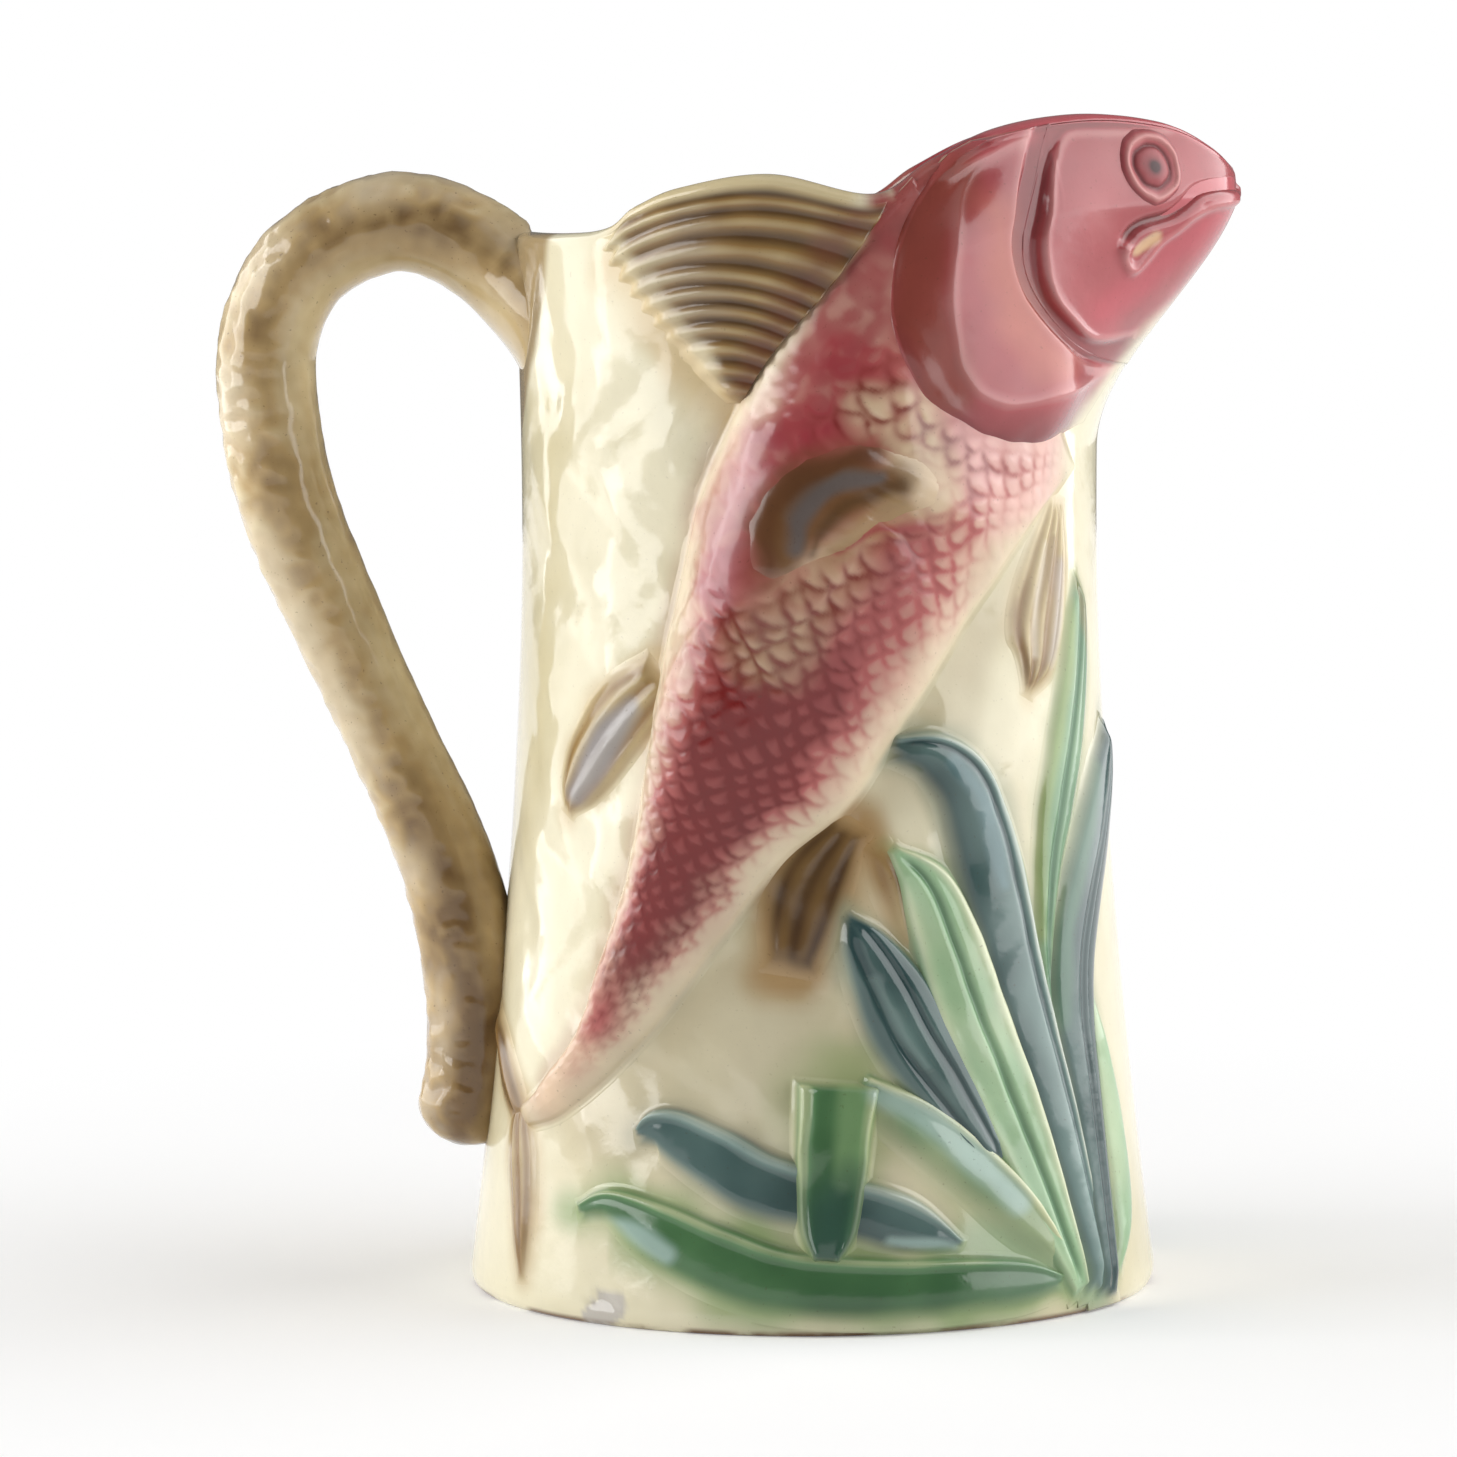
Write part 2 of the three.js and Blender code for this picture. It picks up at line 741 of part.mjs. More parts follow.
// Each sprig gives way to those laid over it, which come before it in this list
const sprigs = [
  { name: 'eye', glaze: 'ink', make: eye },
  { name: 'gill_cover', glaze: 'rose', make: panel(GILL_COVER, GILL_GRID) },
  { name: 'cheek', glaze: 'rose', make: cheek },
  { name: 'pectoral_fin', glaze: 'umber', make: pectoralFin },
  { name: 'fish_flank', glaze: 'red', make: panel(FLANK, FLANK_GRID) },
  { name: 'dorsal_fin', glaze: 'umber', make: dorsalFin },
];
Object.entries(FINS).forEach(([name, line]) => {
  sprigs.push({ name, glaze: 'umber', make: ribbon(line, FIN_COLUMNS, FIN_SWELL) });
});
Object.entries(REEDS).forEach(([name, line]) => {
  sprigs.push({ name, glaze: REED_GLAZES[name], make: ribbon(line, REED_COLUMNS, REED_SWELL) });
});

const over = [bodyPlug(SLIP_GAP / 2), handle(SLIP_GAP)];
sprigs.forEach(({ name, glaze, make }) => {
  const cut = over.reduce((body, cutter) => body.subtract(cutter), make(0));
  addPair(name, mainBody(cut), glaze);
  over.push(make(SLIP_GAP));
});

export default jug;
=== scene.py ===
"""Looks of a barbotine jug: a leaping fish, fins and reeds in glazed relief over a cream body.

Sizes are in millimetres until a mesh is made. Angles run round the body from the spout (0 degrees)
over the near side (90 degrees) to the handle (180 degrees); the far side mirrors the near one. The two
ends of a soft step stand where it is used, in the unit of what it is used on.
"""

import logging
import math
from dataclasses import dataclass, field
from enum import Enum

import bmesh
import bpy
import numpy as np
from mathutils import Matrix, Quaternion, Vector, noise


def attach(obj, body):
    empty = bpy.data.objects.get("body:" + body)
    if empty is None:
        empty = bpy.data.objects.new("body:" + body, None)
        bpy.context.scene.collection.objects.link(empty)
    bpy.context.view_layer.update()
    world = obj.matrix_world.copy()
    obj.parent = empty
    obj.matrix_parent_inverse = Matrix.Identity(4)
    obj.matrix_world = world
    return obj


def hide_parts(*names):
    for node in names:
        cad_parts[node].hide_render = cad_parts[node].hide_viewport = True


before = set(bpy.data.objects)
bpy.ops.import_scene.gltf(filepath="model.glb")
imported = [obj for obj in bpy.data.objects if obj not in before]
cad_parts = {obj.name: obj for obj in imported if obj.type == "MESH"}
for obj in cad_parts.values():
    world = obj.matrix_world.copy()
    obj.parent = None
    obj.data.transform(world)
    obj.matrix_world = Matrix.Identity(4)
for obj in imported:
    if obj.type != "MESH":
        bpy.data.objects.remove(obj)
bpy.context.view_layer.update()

MM = 0.001
BODY = "root"
BAKE_MAP = "OFBake"
MAP_TOP = 0.9
MAP_GAP = 0.02
MAP_BAND = 0.98
MAP_CORNER = 0.999
MAP_CORNERS = ((0, 0), (1, 0), (1, 1), (0, 1))
COLOURED = ("stain", "tint")
MIRROR = (1, -1, 1)
BACKING = 0.6
BACKING_COLUMNS = 5
LUTING = 0.2
DEEP_LUTING = 1.8
GRAIN_SIZE = 9.0
HALF_DEPTH = 0.5
TINY = 1e-6
FAINTEST = 1e-5
WHITE = (1.0, 1.0, 1.0, 1.0)

log = logging.getLogger("jug")

Array = np.ndarray
Limit = float | Array
Pair = tuple[float, float]
Colour = tuple[float, float, float]
Knots = tuple[tuple[float, ...], ...]
Tree = bpy.types.NodeTree
Socket = bpy.types.NodeSocket
Material = bpy.types.Material
Given = float | tuple[float, ...] | Socket


class Seed(Enum):
    """Where each kind of unevenness starts in the noise, so that no two are alike."""

    PAINT = 3.7
    BLADE = 1.3
    FLANK = 6.1
    SCALE_DRIFT = 2.2
    BACK_SKIN = 3.3
    STREAK = 7.7
    DAB = 9.4
    HEAD = 4.4
    EYE = 5.2
    DORSAL_FIN = 2.9
    DIMPLE = 8.3
    FINE_DIMPLE = 5.5
    HANDLE_CLOUD = 1.9


def srgb(red: int, green: int, blue: int) -> Colour:
    """A colour written as it shows on a screen, in the renderer's linear values."""
    shares = (red / 255, green / 255, blue / 255)
    return tuple(s / 12.92 if s <= 0.04045 else ((s + 0.055) / 1.055) ** 2.4 for s in shares)


def smooth(low: Limit, high: Limit, value: Array) -> Array:
    """A soft step from 0 at low to 1 at high."""
    share = np.clip((value - low) / (high - low), 0.0, 1.0)
    return share * share * (3.0 - 2.0 * share)


def bell(value: Array, width: float) -> Array:
    """A soft hump of height 1 at zero."""
    return np.exp(-((value / width) ** 2))


def mix(low: Limit, high: Limit, share: Limit) -> Array:
    """A value between low and high."""
    return low + (high - low) * share


def slid(low: Pair, high: Pair, share: Array) -> tuple[Array, Array]:
    """The two ends of a step that slides between a low and a high place."""
    return mix(low[0], high[0], share), mix(low[1], high[1], share)


def unit(ways: Array) -> Array:
    """Directions brought to a length of 1."""
    return ways / np.linalg.norm(ways, axis=-1, keepdims=True)


def through(knots: Array, at: Array) -> Array:
    """Points on a smooth line through knots.

    Args:
        knots: One row for each knot.
        at: Places on the line, counted in knots.

    Returns:
        One row for each place.
    """
    knots = np.asarray(knots, float)
    padded = np.vstack([2 * knots[0] - knots[1], knots, 2 * knots[-1] - knots[-2]])
    span = np.clip(np.floor(at).astype(int), 0, len(knots) - 2)
    share = (at - span)[:, None]
    a, b, c, d = (padded[span + step] for step in range(4))
    return 0.5 * (
        2 * b
        + (c - a) * share
        + (2 * a - 5 * b + 4 * c - d) * share**2
        + (3 * b - a - 3 * c + d) * share**3
    )


def drawn(knots: Knots | Array, count: int) -> Array:
    """Evenly counted points on a smooth line through knots."""
    return through(knots, np.linspace(0, len(knots) - 1, count))


def evened(points: Array, count: int) -> tuple[Array, Array]:
    """Points respaced evenly along their line, by their first two columns.

    Args:
        points: One row for each point of the line.
        count: How many points to give back.

    Returns:
        The respaced rows, and the length along the line of each.
    """
    steps = np.hypot(*np.diff(points[:, :2], axis=0).T)
    run = np.concatenate([[0.0], np.cumsum(steps)])
    places = np.linspace(0, run[-1], count)
    return np.stack([np.interp(places, run, column) for column in points.T], axis=1), places


def wobble(points: Array, size: float, seed: Seed) -> Array:
    """Soft noise from -1 to 1 over points, with humps of about the given size."""
    spots = (points.reshape(-1, 3) / size + seed.value).tolist()
    return np.array([noise.noise(spot) for spot in spots]).reshape(points.shape[:-1])


def softened(values: Array, times: int) -> Array:
    """A grid of values blurred by its nearest neighbours.

    Args:
        values: The grid.
        times: How often it is blurred.

    Returns:
        The blurred grid.
    """
    for _ in range(times):
        for axis in (0, 1):
            ends = [(1, 1) if side == axis else (0, 0) for side in (0, 1)]
            padded = np.pad(values, ends, mode="edge")
            low, high = np.delete(padded, [-1, -2], axis), np.delete(padded, [0, 1], axis)
            values = 0.5 * values + 0.25 * (low + high)
    return values


def quads(*corners: Array) -> Array:
    """Four-sided faces from four grids of corners."""
    return np.stack([corner.ravel() for corner in corners], axis=-1)


def map_grid(across: Array, up: Array) -> Array:
    """Places on the bake map for a grid of points."""
    return np.stack(np.meshgrid(across, up), axis=-1).reshape(-1, 2)


def map_cells(across: Array, up: Array, wide: int, tall: int) -> Array:
    """Places on the bake map for the corners of cells, by their columns and rows out of all."""
    corners = [np.stack([(across + a) / wide, (up + b) / tall], axis=-1) for a, b in MAP_CORNERS]
    return np.stack(corners, axis=-2).reshape(-1, 4, 2)


@dataclass(frozen=True)
class Hump:
    """A soft hump, or a hollow if its height is below zero."""

    height: float
    place: float
    width: float

    def over(self, away: Array) -> Array:
        """How high it is at some distances."""
        return self.height * bell(away - self.place, self.width)


@dataclass(frozen=True)
class JugWall:
    """The thrown wall with its beak spout, on which all relief is laid."""

    foot_radius: float = 65.2
    waist_radius: float = 54.0
    waist_height: float = 145.0
    waist_curve: float = 1.7
    mouth_radius: float = 55.2
    mouth_height: float = 198.4
    spout_reach: float = 26.0
    spout_spread: float = 27.0
    throat_height: float = 158.0
    throat_rise: float = 52.0
    brow_roll: float = 0.09
    brow_height: float = 212.0
    brow_round: float = 10.0
    ripple: float = 0.32
    bare_low: Pair = (12.0, 36.0)
    bare_high: Pair = (168.0, 190.0)
    bare_front: Pair = (28.0, 60.0)
    bare_back: Pair = (152.0, 174.0)
    probe: float = 0.05
    rim_samples: int = 240
    rim_line: Knots = (
        (0, 210.8), (4, 211.2), (10, 213.8), (20, 218), (34, 219.2), (52, 216.4), (66, 210.8), (78, 204.8),
        (98, 208.4), (116, 206.2), (126, 203), (138, 198.4), (180, 198.4),
    )

    def rim(self, angle: Array) -> Array:
        """Height of the rim at an angle."""
        line = drawn(self.rim_line, self.rim_samples)
        return np.interp(np.abs(angle), line[:, 0], line[:, 1])

    def unevenness(self, angle: Array, z: Array) -> Array:
        """The slight waves that hands and mould leave in the plain wall.

        Args:
            angle: Angles of the places.
            z: Heights of the places.

        Returns:
            How far each place lies off the true wall.
        """
        turn = np.abs(angle)
        bare = smooth(*self.bare_low, z) * (1 - smooth(*self.bare_high, z))
        bare = bare * smooth(*self.bare_front, turn) * (1 - smooth(*self.bare_back, turn))
        arc = np.radians(turn) * self.waist_radius
        # Three trains of waves cross at odd lengths, so that no pattern shows.
        waves = np.sin(0.19 * arc + 1.3 * np.sin(0.07 * z)) * np.sin(0.13 * z + 0.05 * arc + 0.7)
        waves = waves + 0.4 * np.sin(0.31 * arc - 0.16 * z + np.sin(0.11 * z))
        fine = np.sin(0.6 * arc + 1.5 * np.sin(0.19 * z + 0.4)) * np.sin(0.42 * z + 0.9 * np.sin(0.23 * arc))
        return self.ripple * bare * (waves + 0.25 * fine)

    def radius(self, angle: Array, z: Array) -> Array:
        """Outer radius of the true wall, the spout included.

        Args:
            angle: Angles of the places.
            z: Heights of the places.

        Returns:
            The radius at each place.
        """
        below = np.maximum(0, 1 - z / self.waist_height)
        above = np.maximum(0, (z - self.waist_height) / (self.mouth_height - self.waist_height))
        round_wall = (
            self.waist_radius
            + (self.foot_radius - self.waist_radius) * below**self.waist_curve
            + (self.mouth_radius - self.waist_radius) * above**2
        )
        swell = smooth(self.throat_height, self.throat_height + self.throat_rise, z)
        swell = swell * (1 - self.brow_roll * smooth(self.brow_height - self.brow_round, self.brow_height, z))
        return round_wall + self.spout_reach * swell * bell(angle, self.spout_spread)

    def outward(self, angle: Array) -> Array:
        """Level directions away from the axis."""
        turn = np.radians(angle)
        return np.stack([np.cos(turn), -np.sin(turn), 0.0 * turn], axis=-1)

    def face(self, angle: Array, z: Array) -> Array:
        """Points of the outer face at some angles and heights."""
        turn, radius = np.radians(angle), self.radius(angle, z) + self.unevenness(angle, z)
        return np.stack([radius * np.cos(turn), -radius * np.sin(turn), z + 0.0 * turn], axis=-1)

    def place(self, angle: Array, z: Array, lift: Array) -> Array:
        """Points lifted square off the outer face.

        Args:
            angle: Angles of the points.
            z: Heights of the points on the face.
            lift: How far each is lifted.

        Returns:
            The points in space.
        """
        step = self.probe
        across = self.face(angle + step, z) - self.face(angle - step, z)
        rise = self.face(angle, z + step) - self.face(angle, z - step)
        return self.face(angle, z) + unit(np.cross(rise, across)) * np.asarray(lift)[..., None]

    def flat(self, angle: Array, z: Array) -> Array:
        """Places on the wall laid flat: arc at the waist, and height."""
        return np.stack([np.radians(angle) * self.waist_radius, z + 0.0 * angle], axis=-1)

    def laid(self, knots: Knots, count: int) -> Array:
        """Evenly counted points on a smooth line, on the flat wall."""
        return drawn(self.flat(*np.array(knots, float).T), count)

    def bent(self, places: Array) -> tuple[Array, Array]:
        """Angle and height of places on the flat wall."""
        return np.degrees(places[..., 0] / self.waist_radius), places[..., 1]


WALL = JugWall()


@dataclass(frozen=True)
class Contour:
    """A smooth line on the wall, for measuring how far a place lies from it."""

    knots: Knots
    samples: int = 48

    def points(self) -> Array:
        """The line on the flat wall, with any further columns beside it."""
        line = drawn(self.knots, self.samples)
        return np.hstack([WALL.flat(line[:, 0], line[:, 1]), line[:, 2:]])

    def measure(self, angle: Array, z: Array) -> tuple[Array, Array, Array]:
        """Measures places against the line.

        Args:
            angle: Angles of the places.
            z: Heights of the places.

        Returns:
            The distance to the line, with its sign the side; where along the line the nearest
            point is, from 0 to 1; and the line's third column there, or zero.
        """
        line = self.points()
        spots = WALL.flat(angle, z)[..., None, :]
        start, run = line[:-1, :2], np.diff(line[:, :2], axis=0)
        arm = spots - start
        share = np.clip((arm * run).sum(-1) / (run**2).sum(-1), 0, 1)
        gap = ((arm - share[..., None] * run) ** 2).sum(-1)
        best = gap.argmin(-1)[..., None]
        side = run[:, 0] * arm[..., 1] - run[:, 1] * arm[..., 0]
        picked = [np.take_along_axis(each, best, -1)[..., 0] for each in (gap, side, share)]
        along = (best[..., 0] + picked[2]) / (len(line) - 1)
        third = line[:, 2] if line.shape[1] > 2 else np.zeros(len(line))
        width = np.interp(along, np.linspace(0, 1, len(line)), third)
        return np.sqrt(picked[0]) * np.where(picked[1] < 0, -1.0, 1.0), along, width


class Side(Enum):
    """Sides of the jug that a piece or a colour is on."""

    NEAR = "near"
    FAR = "far"
    BOTH = "both"


@dataclass(frozen=True)
class Blush:
    """A soft patch of colour along a line of angle, height and half width."""

    line: Knots
    colour: Colour
    bleed: float
    strength: float = 1.0
    side: Side = Side.BOTH
    grain: float = 0.5
    inner_bleed: float = 0.3
    samples: int = 6

    def over(self, paint: Array, angle: Array, z: Array, grain: Array) -> Array:
        """Lays the colour over paint.

        Args:
            paint: Colours and strengths so far.
            angle: Angles of the painted places.
            z: Heights of the painted places.
            grain: Noise that breaks the patch's edge.

        Returns:
            The new colours and strengths.
        """
        turn = np.abs(angle) if self.side is Side.BOTH else angle
        knots = np.array(self.line, float)
        margin = knots[:, 2].max() + 2 * self.bleed
        low, high = knots[:, :2].min(0), knots[:, :2].max(0)
        margins = (math.degrees(margin / WALL.waist_radius), margin)
        near = (turn > low[0] - margins[0]) & (turn < high[0] + margins[0])
        near &= (z > low[1] - margins[1]) & (z < high[1] + margins[1])
        if not near.any():
            return paint
        away, _, half = Contour(self.line, self.samples * len(knots)).measure(turn[near], z[near])
        beyond = np.abs(away) - half + self.grain * self.bleed * grain[near]
        new = (self.strength * (1 - smooth(-self.inner_bleed * self.bleed, self.bleed, beyond)))[:, None]
        old = paint[near, 3:] * (1 - new)
        total = np.maximum(new + old, TINY)
        colour = (np.array(self.colour) * new + paint[near, :3] * old) / total
        laid = paint.copy()
        laid[near] = np.hstack([np.where(total > FAINTEST, colour, paint[near, :3]), total])
        return laid


CREAM = srgb(230, 222, 192)


def painted(blushes: list[Blush], angle: Array, z: Array) -> Array:
    """Lays blushes one over the other on the wall.

    Args:
        blushes: The patches of colour, the lowest first.
        angle: Angles of the painted places.
        z: Heights of the painted places.

    Returns:
        The colour and strength at each place.
    """
    paint = np.zeros((*angle.shape, 4))
    paint[..., :3] = CREAM
    grain = wobble(WALL.face(angle, z), GRAIN_SIZE, Seed.PAINT)
    for blush in blushes:
        paint = blush.over(paint, angle, z, grain)
    return paint


@dataclass
class Sheet:
    """A grid of relief over the wall, with its glaze.

    The cover is 1 under the sprig's own glaze and 0 where the ground shows; the depth is how thick
    that glaze lies, from thin over edges to pooled in hollows.
    """

    angle: Array
    z: Array
    lift: Array
    cover: Array
    depth: Array
    tint: Array | None = None
    # The ground's stains, and the shade painted beside the fish.
    stain: Array | None = None


@dataclass
class Solid:
    """A closed mesh with its paint, gathered from sheets."""

    points: list[Array] = field(default_factory=list)
    faces: list[list[int]] = field(default_factory=list)
    soft: list[bool] = field(default_factory=list)
    map: list[Array] = field(default_factory=list)
    paint: dict[str, list[Array]] = field(default_factory=dict)
    count: int = 0

    def add_points(self, points: Array, paint: dict[str, Array]) -> int:
        """Adds points.

        Args:
            points: The points in space.
            paint: What each point carries, by the paint's name.

        Returns:
            The number of the first of them.
        """
        first = self.count
        self.points.append(points.reshape(-1, 3))
        self.count += self.points[-1].shape[0]
        for name, values in paint.items():
            width = 4 if name in COLOURED else 1
            self.paint.setdefault(name, []).append(values.reshape(-1, width))
        return first

    def add_faces(self, faces: Array, places: Array, soft: bool, flip: bool) -> None:
        """Adds faces.

        Args:
            faces: The numbers of each face's points.
            places: The places of these points on the bake map.
            soft: Whether the faces are shaded smooth.
            flip: Whether they are turned over.
        """
        step = -1 if flip else 1
        self.faces.extend(np.asarray(faces)[:, ::step].tolist())
        self.map.append(np.asarray(places)[:, ::step].reshape(-1, 2))
        self.soft.extend([soft] * len(faces))

    def add_cap(self, faces: Array, flip: bool) -> None:
        """Adds hidden faces, which share one corner of the bake map."""
        self.add_faces(faces, np.full((*faces.shape, 2), MAP_CORNER), False, flip)

    def add_sheet(self, sheet: Sheet, band: Pair, side: Side) -> None:
        """Closes a sheet with a backing sunk in the wall and adds it.

        Args:
            sheet: The relief.
            band: Low and high end of the sheet's part of the bake map.
            side: Where it goes; to the far side it is mirrored.
        """
        far = side is Side.FAR
        rows, columns = sheet.angle.shape
        picked = np.linspace(0, columns - 1, BACKING_COLUMNS).round().astype(int)
        under_angle, under_z = sheet.angle[:, picked], sheet.z[:, picked]
        top = WALL.place(sheet.angle, sheet.z, sheet.lift)
        under = WALL.place(under_angle, under_z, np.full(under_angle.shape, -BACKING))
        if far:
            top, under = top * MIRROR, under * MIRROR
        tint = np.zeros_like(sheet.stain) if sheet.tint is None else sheet.tint
        paint = {"cover": sheet.cover, "depth": sheet.depth, "stain": sheet.stain, "tint": tint}
        even, plain = np.full(under_angle.shape, HALF_DEPTH), np.zeros((*under_angle.shape, 4))
        first = self.add_points(top, paint)
        second = self.add_points(under, {"cover": even, "depth": even, "stain": plain, "tint": plain})
        t = first + np.arange(rows * columns).reshape(rows, columns)
        u = second + np.arange(rows * BACKING_COLUMNS).reshape(rows, BACKING_COLUMNS)
        up = np.linspace(*band, rows)
        spots = np.vstack([
            map_grid(np.linspace(0.0, MAP_TOP, columns), up),
            map_grid(np.linspace(MAP_TOP + MAP_GAP, 1.0, BACKING_COLUMNS), up),
        ])
        laid = WALL.flat(sheet.angle, sheet.z)
        down, across = laid[1:, :-1] - laid[:-1, :-1], laid[:-1, 1:] - laid[:-1, :-1]
        turned = (down[..., 0] * across[..., 1] - down[..., 1] * across[..., 0]).sum() > 0
        flip = bool(turned) != far
        for faces, soft in (
            (quads(t[:-1, :-1], t[1:, :-1], t[1:, 1:], t[:-1, 1:]), True),
            (quads(u[:-1, :-1], u[:-1, 1:], u[1:, 1:], u[1:, :-1]), False),
            (quads(t[1:, 0], t[:-1, 0], u[:-1, 0], u[1:, 0]), False),
            (quads(t[:-1, -1], t[1:, -1], u[1:, -1], u[:-1, -1]), False),
            (np.concatenate([t[0], u[0, ::-1]])[None], False),
            (np.concatenate([t[-1, ::-1], u[-1]])[None], False),
        ):
            self.add_faces(faces, spots[faces - first], soft, flip)

    def points_used(self) -> Array:
        """Numbers of all points that faces use, in order."""
        return np.unique([corner for face in self.faces for corner in face])

    def made(self, name: str) -> bpy.types.Object:
        """Makes the piece.

        Args:
            name: What it is called.

        Returns:
            The piece, in the scene.
        """
        mesh = bpy.data.meshes.new(name)
        mesh.from_pydata((np.vstack(self.points) * MM).tolist(), [], self.faces)
        layer = mesh.uv_layers.new(name=BAKE_MAP)
        layer.data.foreach_set("uv", np.vstack(self.map).astype(np.float32).ravel())
        mesh.polygons.foreach_set("use_smooth", self.soft)
        for paint, parts in self.paint.items():
            wide = paint in COLOURED
            values = np.vstack(parts).astype(np.float32)
            layer = mesh.attributes.new(paint, "FLOAT_COLOR" if wide else "FLOAT", "POINT")
            layer.data.foreach_set("color" if wide else "value", values.ravel())
        mesh.update()
        piece = bpy.data.objects.new(name, mesh)
        bpy.context.scene.collection.objects.link(piece)
        return piece


def cleaned(piece: bpy.types.Object) -> bpy.types.Object:
    """Drops points that no face uses and turns all faces outward.

    Args:
        piece: The piece to clean.

    Returns:
        The same piece.
    """
    mesh = bmesh.new()
    mesh.from_mesh(piece.data)
    loose = [vert for vert in mesh.verts if not vert.link_faces]
    bmesh.ops.delete(mesh, geom=loose, context="VERTS")
    bmesh.ops.recalc_face_normals(mesh, faces=mesh.faces)
    mesh.to_mesh(piece.data)
    mesh.free()
    return piece


def fitted(piece: bpy.types.Object, finish: Material, slot: str, *nodes: str) -> None:
    """Dresses a piece and sets it in the frame.

    Args:
        piece: The piece.
        finish: Its material.
        slot: Not used.
        nodes: The CAD nodes that it takes the place of.
    """
    piece.data.materials.append(finish)
    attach(piece, BODY)
    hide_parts(*nodes)
    log.info("%s: %d faces for %s", piece.name, len(piece.data.polygons), ", ".join(nodes))


def new_node(
    tree: Tree, kind: str, inputs: dict[str | int, Given] | None = None, **settings: object
) -> bpy.types.Node:
    """Adds a shader node.

    Args:
        tree: Where the node goes.
        kind: The node's type.
        inputs: A value or another node's output for each input, by name or number.
        settings: The node's own properties.

    Returns:
        The node.
    """
    made = tree.nodes.new(kind)
    for key, value in settings.items():
        setattr(made, key, value)
    for key, value in (inputs or {}).items():
        if isinstance(value, Socket):
            tree.links.new(value, made.inputs[key])
        else:
            made.inputs[key].default_value = value
    return made


def opaque(colour: Colour) -> tuple[float, float, float, float]:
    """A colour with full alpha, as sockets take it."""
    return (*colour, 1.0)


def blended(tree: Tree, share: Given, low: Given, high: Given) -> Socket:
    """A colour mixed from two by a share."""
    inputs = {0: share, 6: low, 7: high}
    return new_node(tree, "ShaderNodeMix", inputs, data_type="RGBA").outputs[2]


def arithmetic(tree: Tree, operation: str, *values: Given) -> Socket:
    """The result of a Math node."""
    return new_node(tree, "ShaderNodeMath", dict(enumerate(values)), operation=operation).outputs[0]


def ranged(tree: Tree, value: Given, low: float, high: float) -> Socket:
    """A mask that rises from 0 at low to 1 at high."""
    inputs = {"Value": value, "From Min": low, "From Max": high}
    return new_node(tree, "ShaderNodeMapRange", inputs, interpolation_type="SMOOTHSTEP").outputs[0]


def placed(tree: Tree) -> Socket:
    """Places in the object's own space."""
    return new_node(tree, "ShaderNodeTexCoord").outputs["Object"]


def height_of(tree: Tree, spot: Socket) -> Socket:
    """How high a place is."""
    return new_node(tree, "ShaderNodeSeparateXYZ", {0: spot}).outputs["Z"]


def clouded(tree: Tree, spot: Socket, scale: float, detail: float) -> Socket:
    """Soft noise from 0 to 1 over places."""
    inputs = {"Vector": spot, "Scale": scale, "Detail": detail}
    return new_node(tree, "ShaderNodeTexNoise", inputs).outputs["Fac"]


def carried(tree: Tree, paint: str, output: str = "Fac") -> Socket:
    """What the points of a mesh carry of a paint."""
    return new_node(tree, "ShaderNodeAttribute", attribute_name=paint).outputs[output]


def over_paint(tree: Tree, colour: Given, paint: str) -> Socket:
    """A colour under a paint that the mesh carries."""
    laid = new_node(tree, "ShaderNodeAttribute", attribute_name=paint).outputs
    return blended(tree, laid["Alpha"], colour, laid["Color"])


def white_seen(tree: Tree, in_glaze: float = 1.0) -> Socket:
    """Marks the rays that see the white behind the jug.

    Args:
        tree: The nodes of a floor or a world.
        in_glaze: How much of it mirror and glass rays see.

    Returns:
        1 for the camera's rays, and the share for mirror and glass rays.
    """
    path = new_node(tree, "ShaderNodeLightPath").outputs
    shared = arithmetic(tree, "MAXIMUM", path["Is Glossy Ray"], path["Is Transmission Ray"])
    return arithmetic(tree, "MAXIMUM", path["Is Camera Ray"], arithmetic(tree, "MULTIPLY", shared, in_glaze))


def new_material(name: str) -> tuple[Material, Tree, bpy.types.Node]:
    """Makes an empty material.

    Args:
        name: What it is called.

    Returns:
        The material, its nodes and its shader.
    """
    made = bpy.data.materials.new(name)
    made.use_nodes = True
    tree = made.node_tree
    return made, tree, tree.nodes["Principled BSDF"]


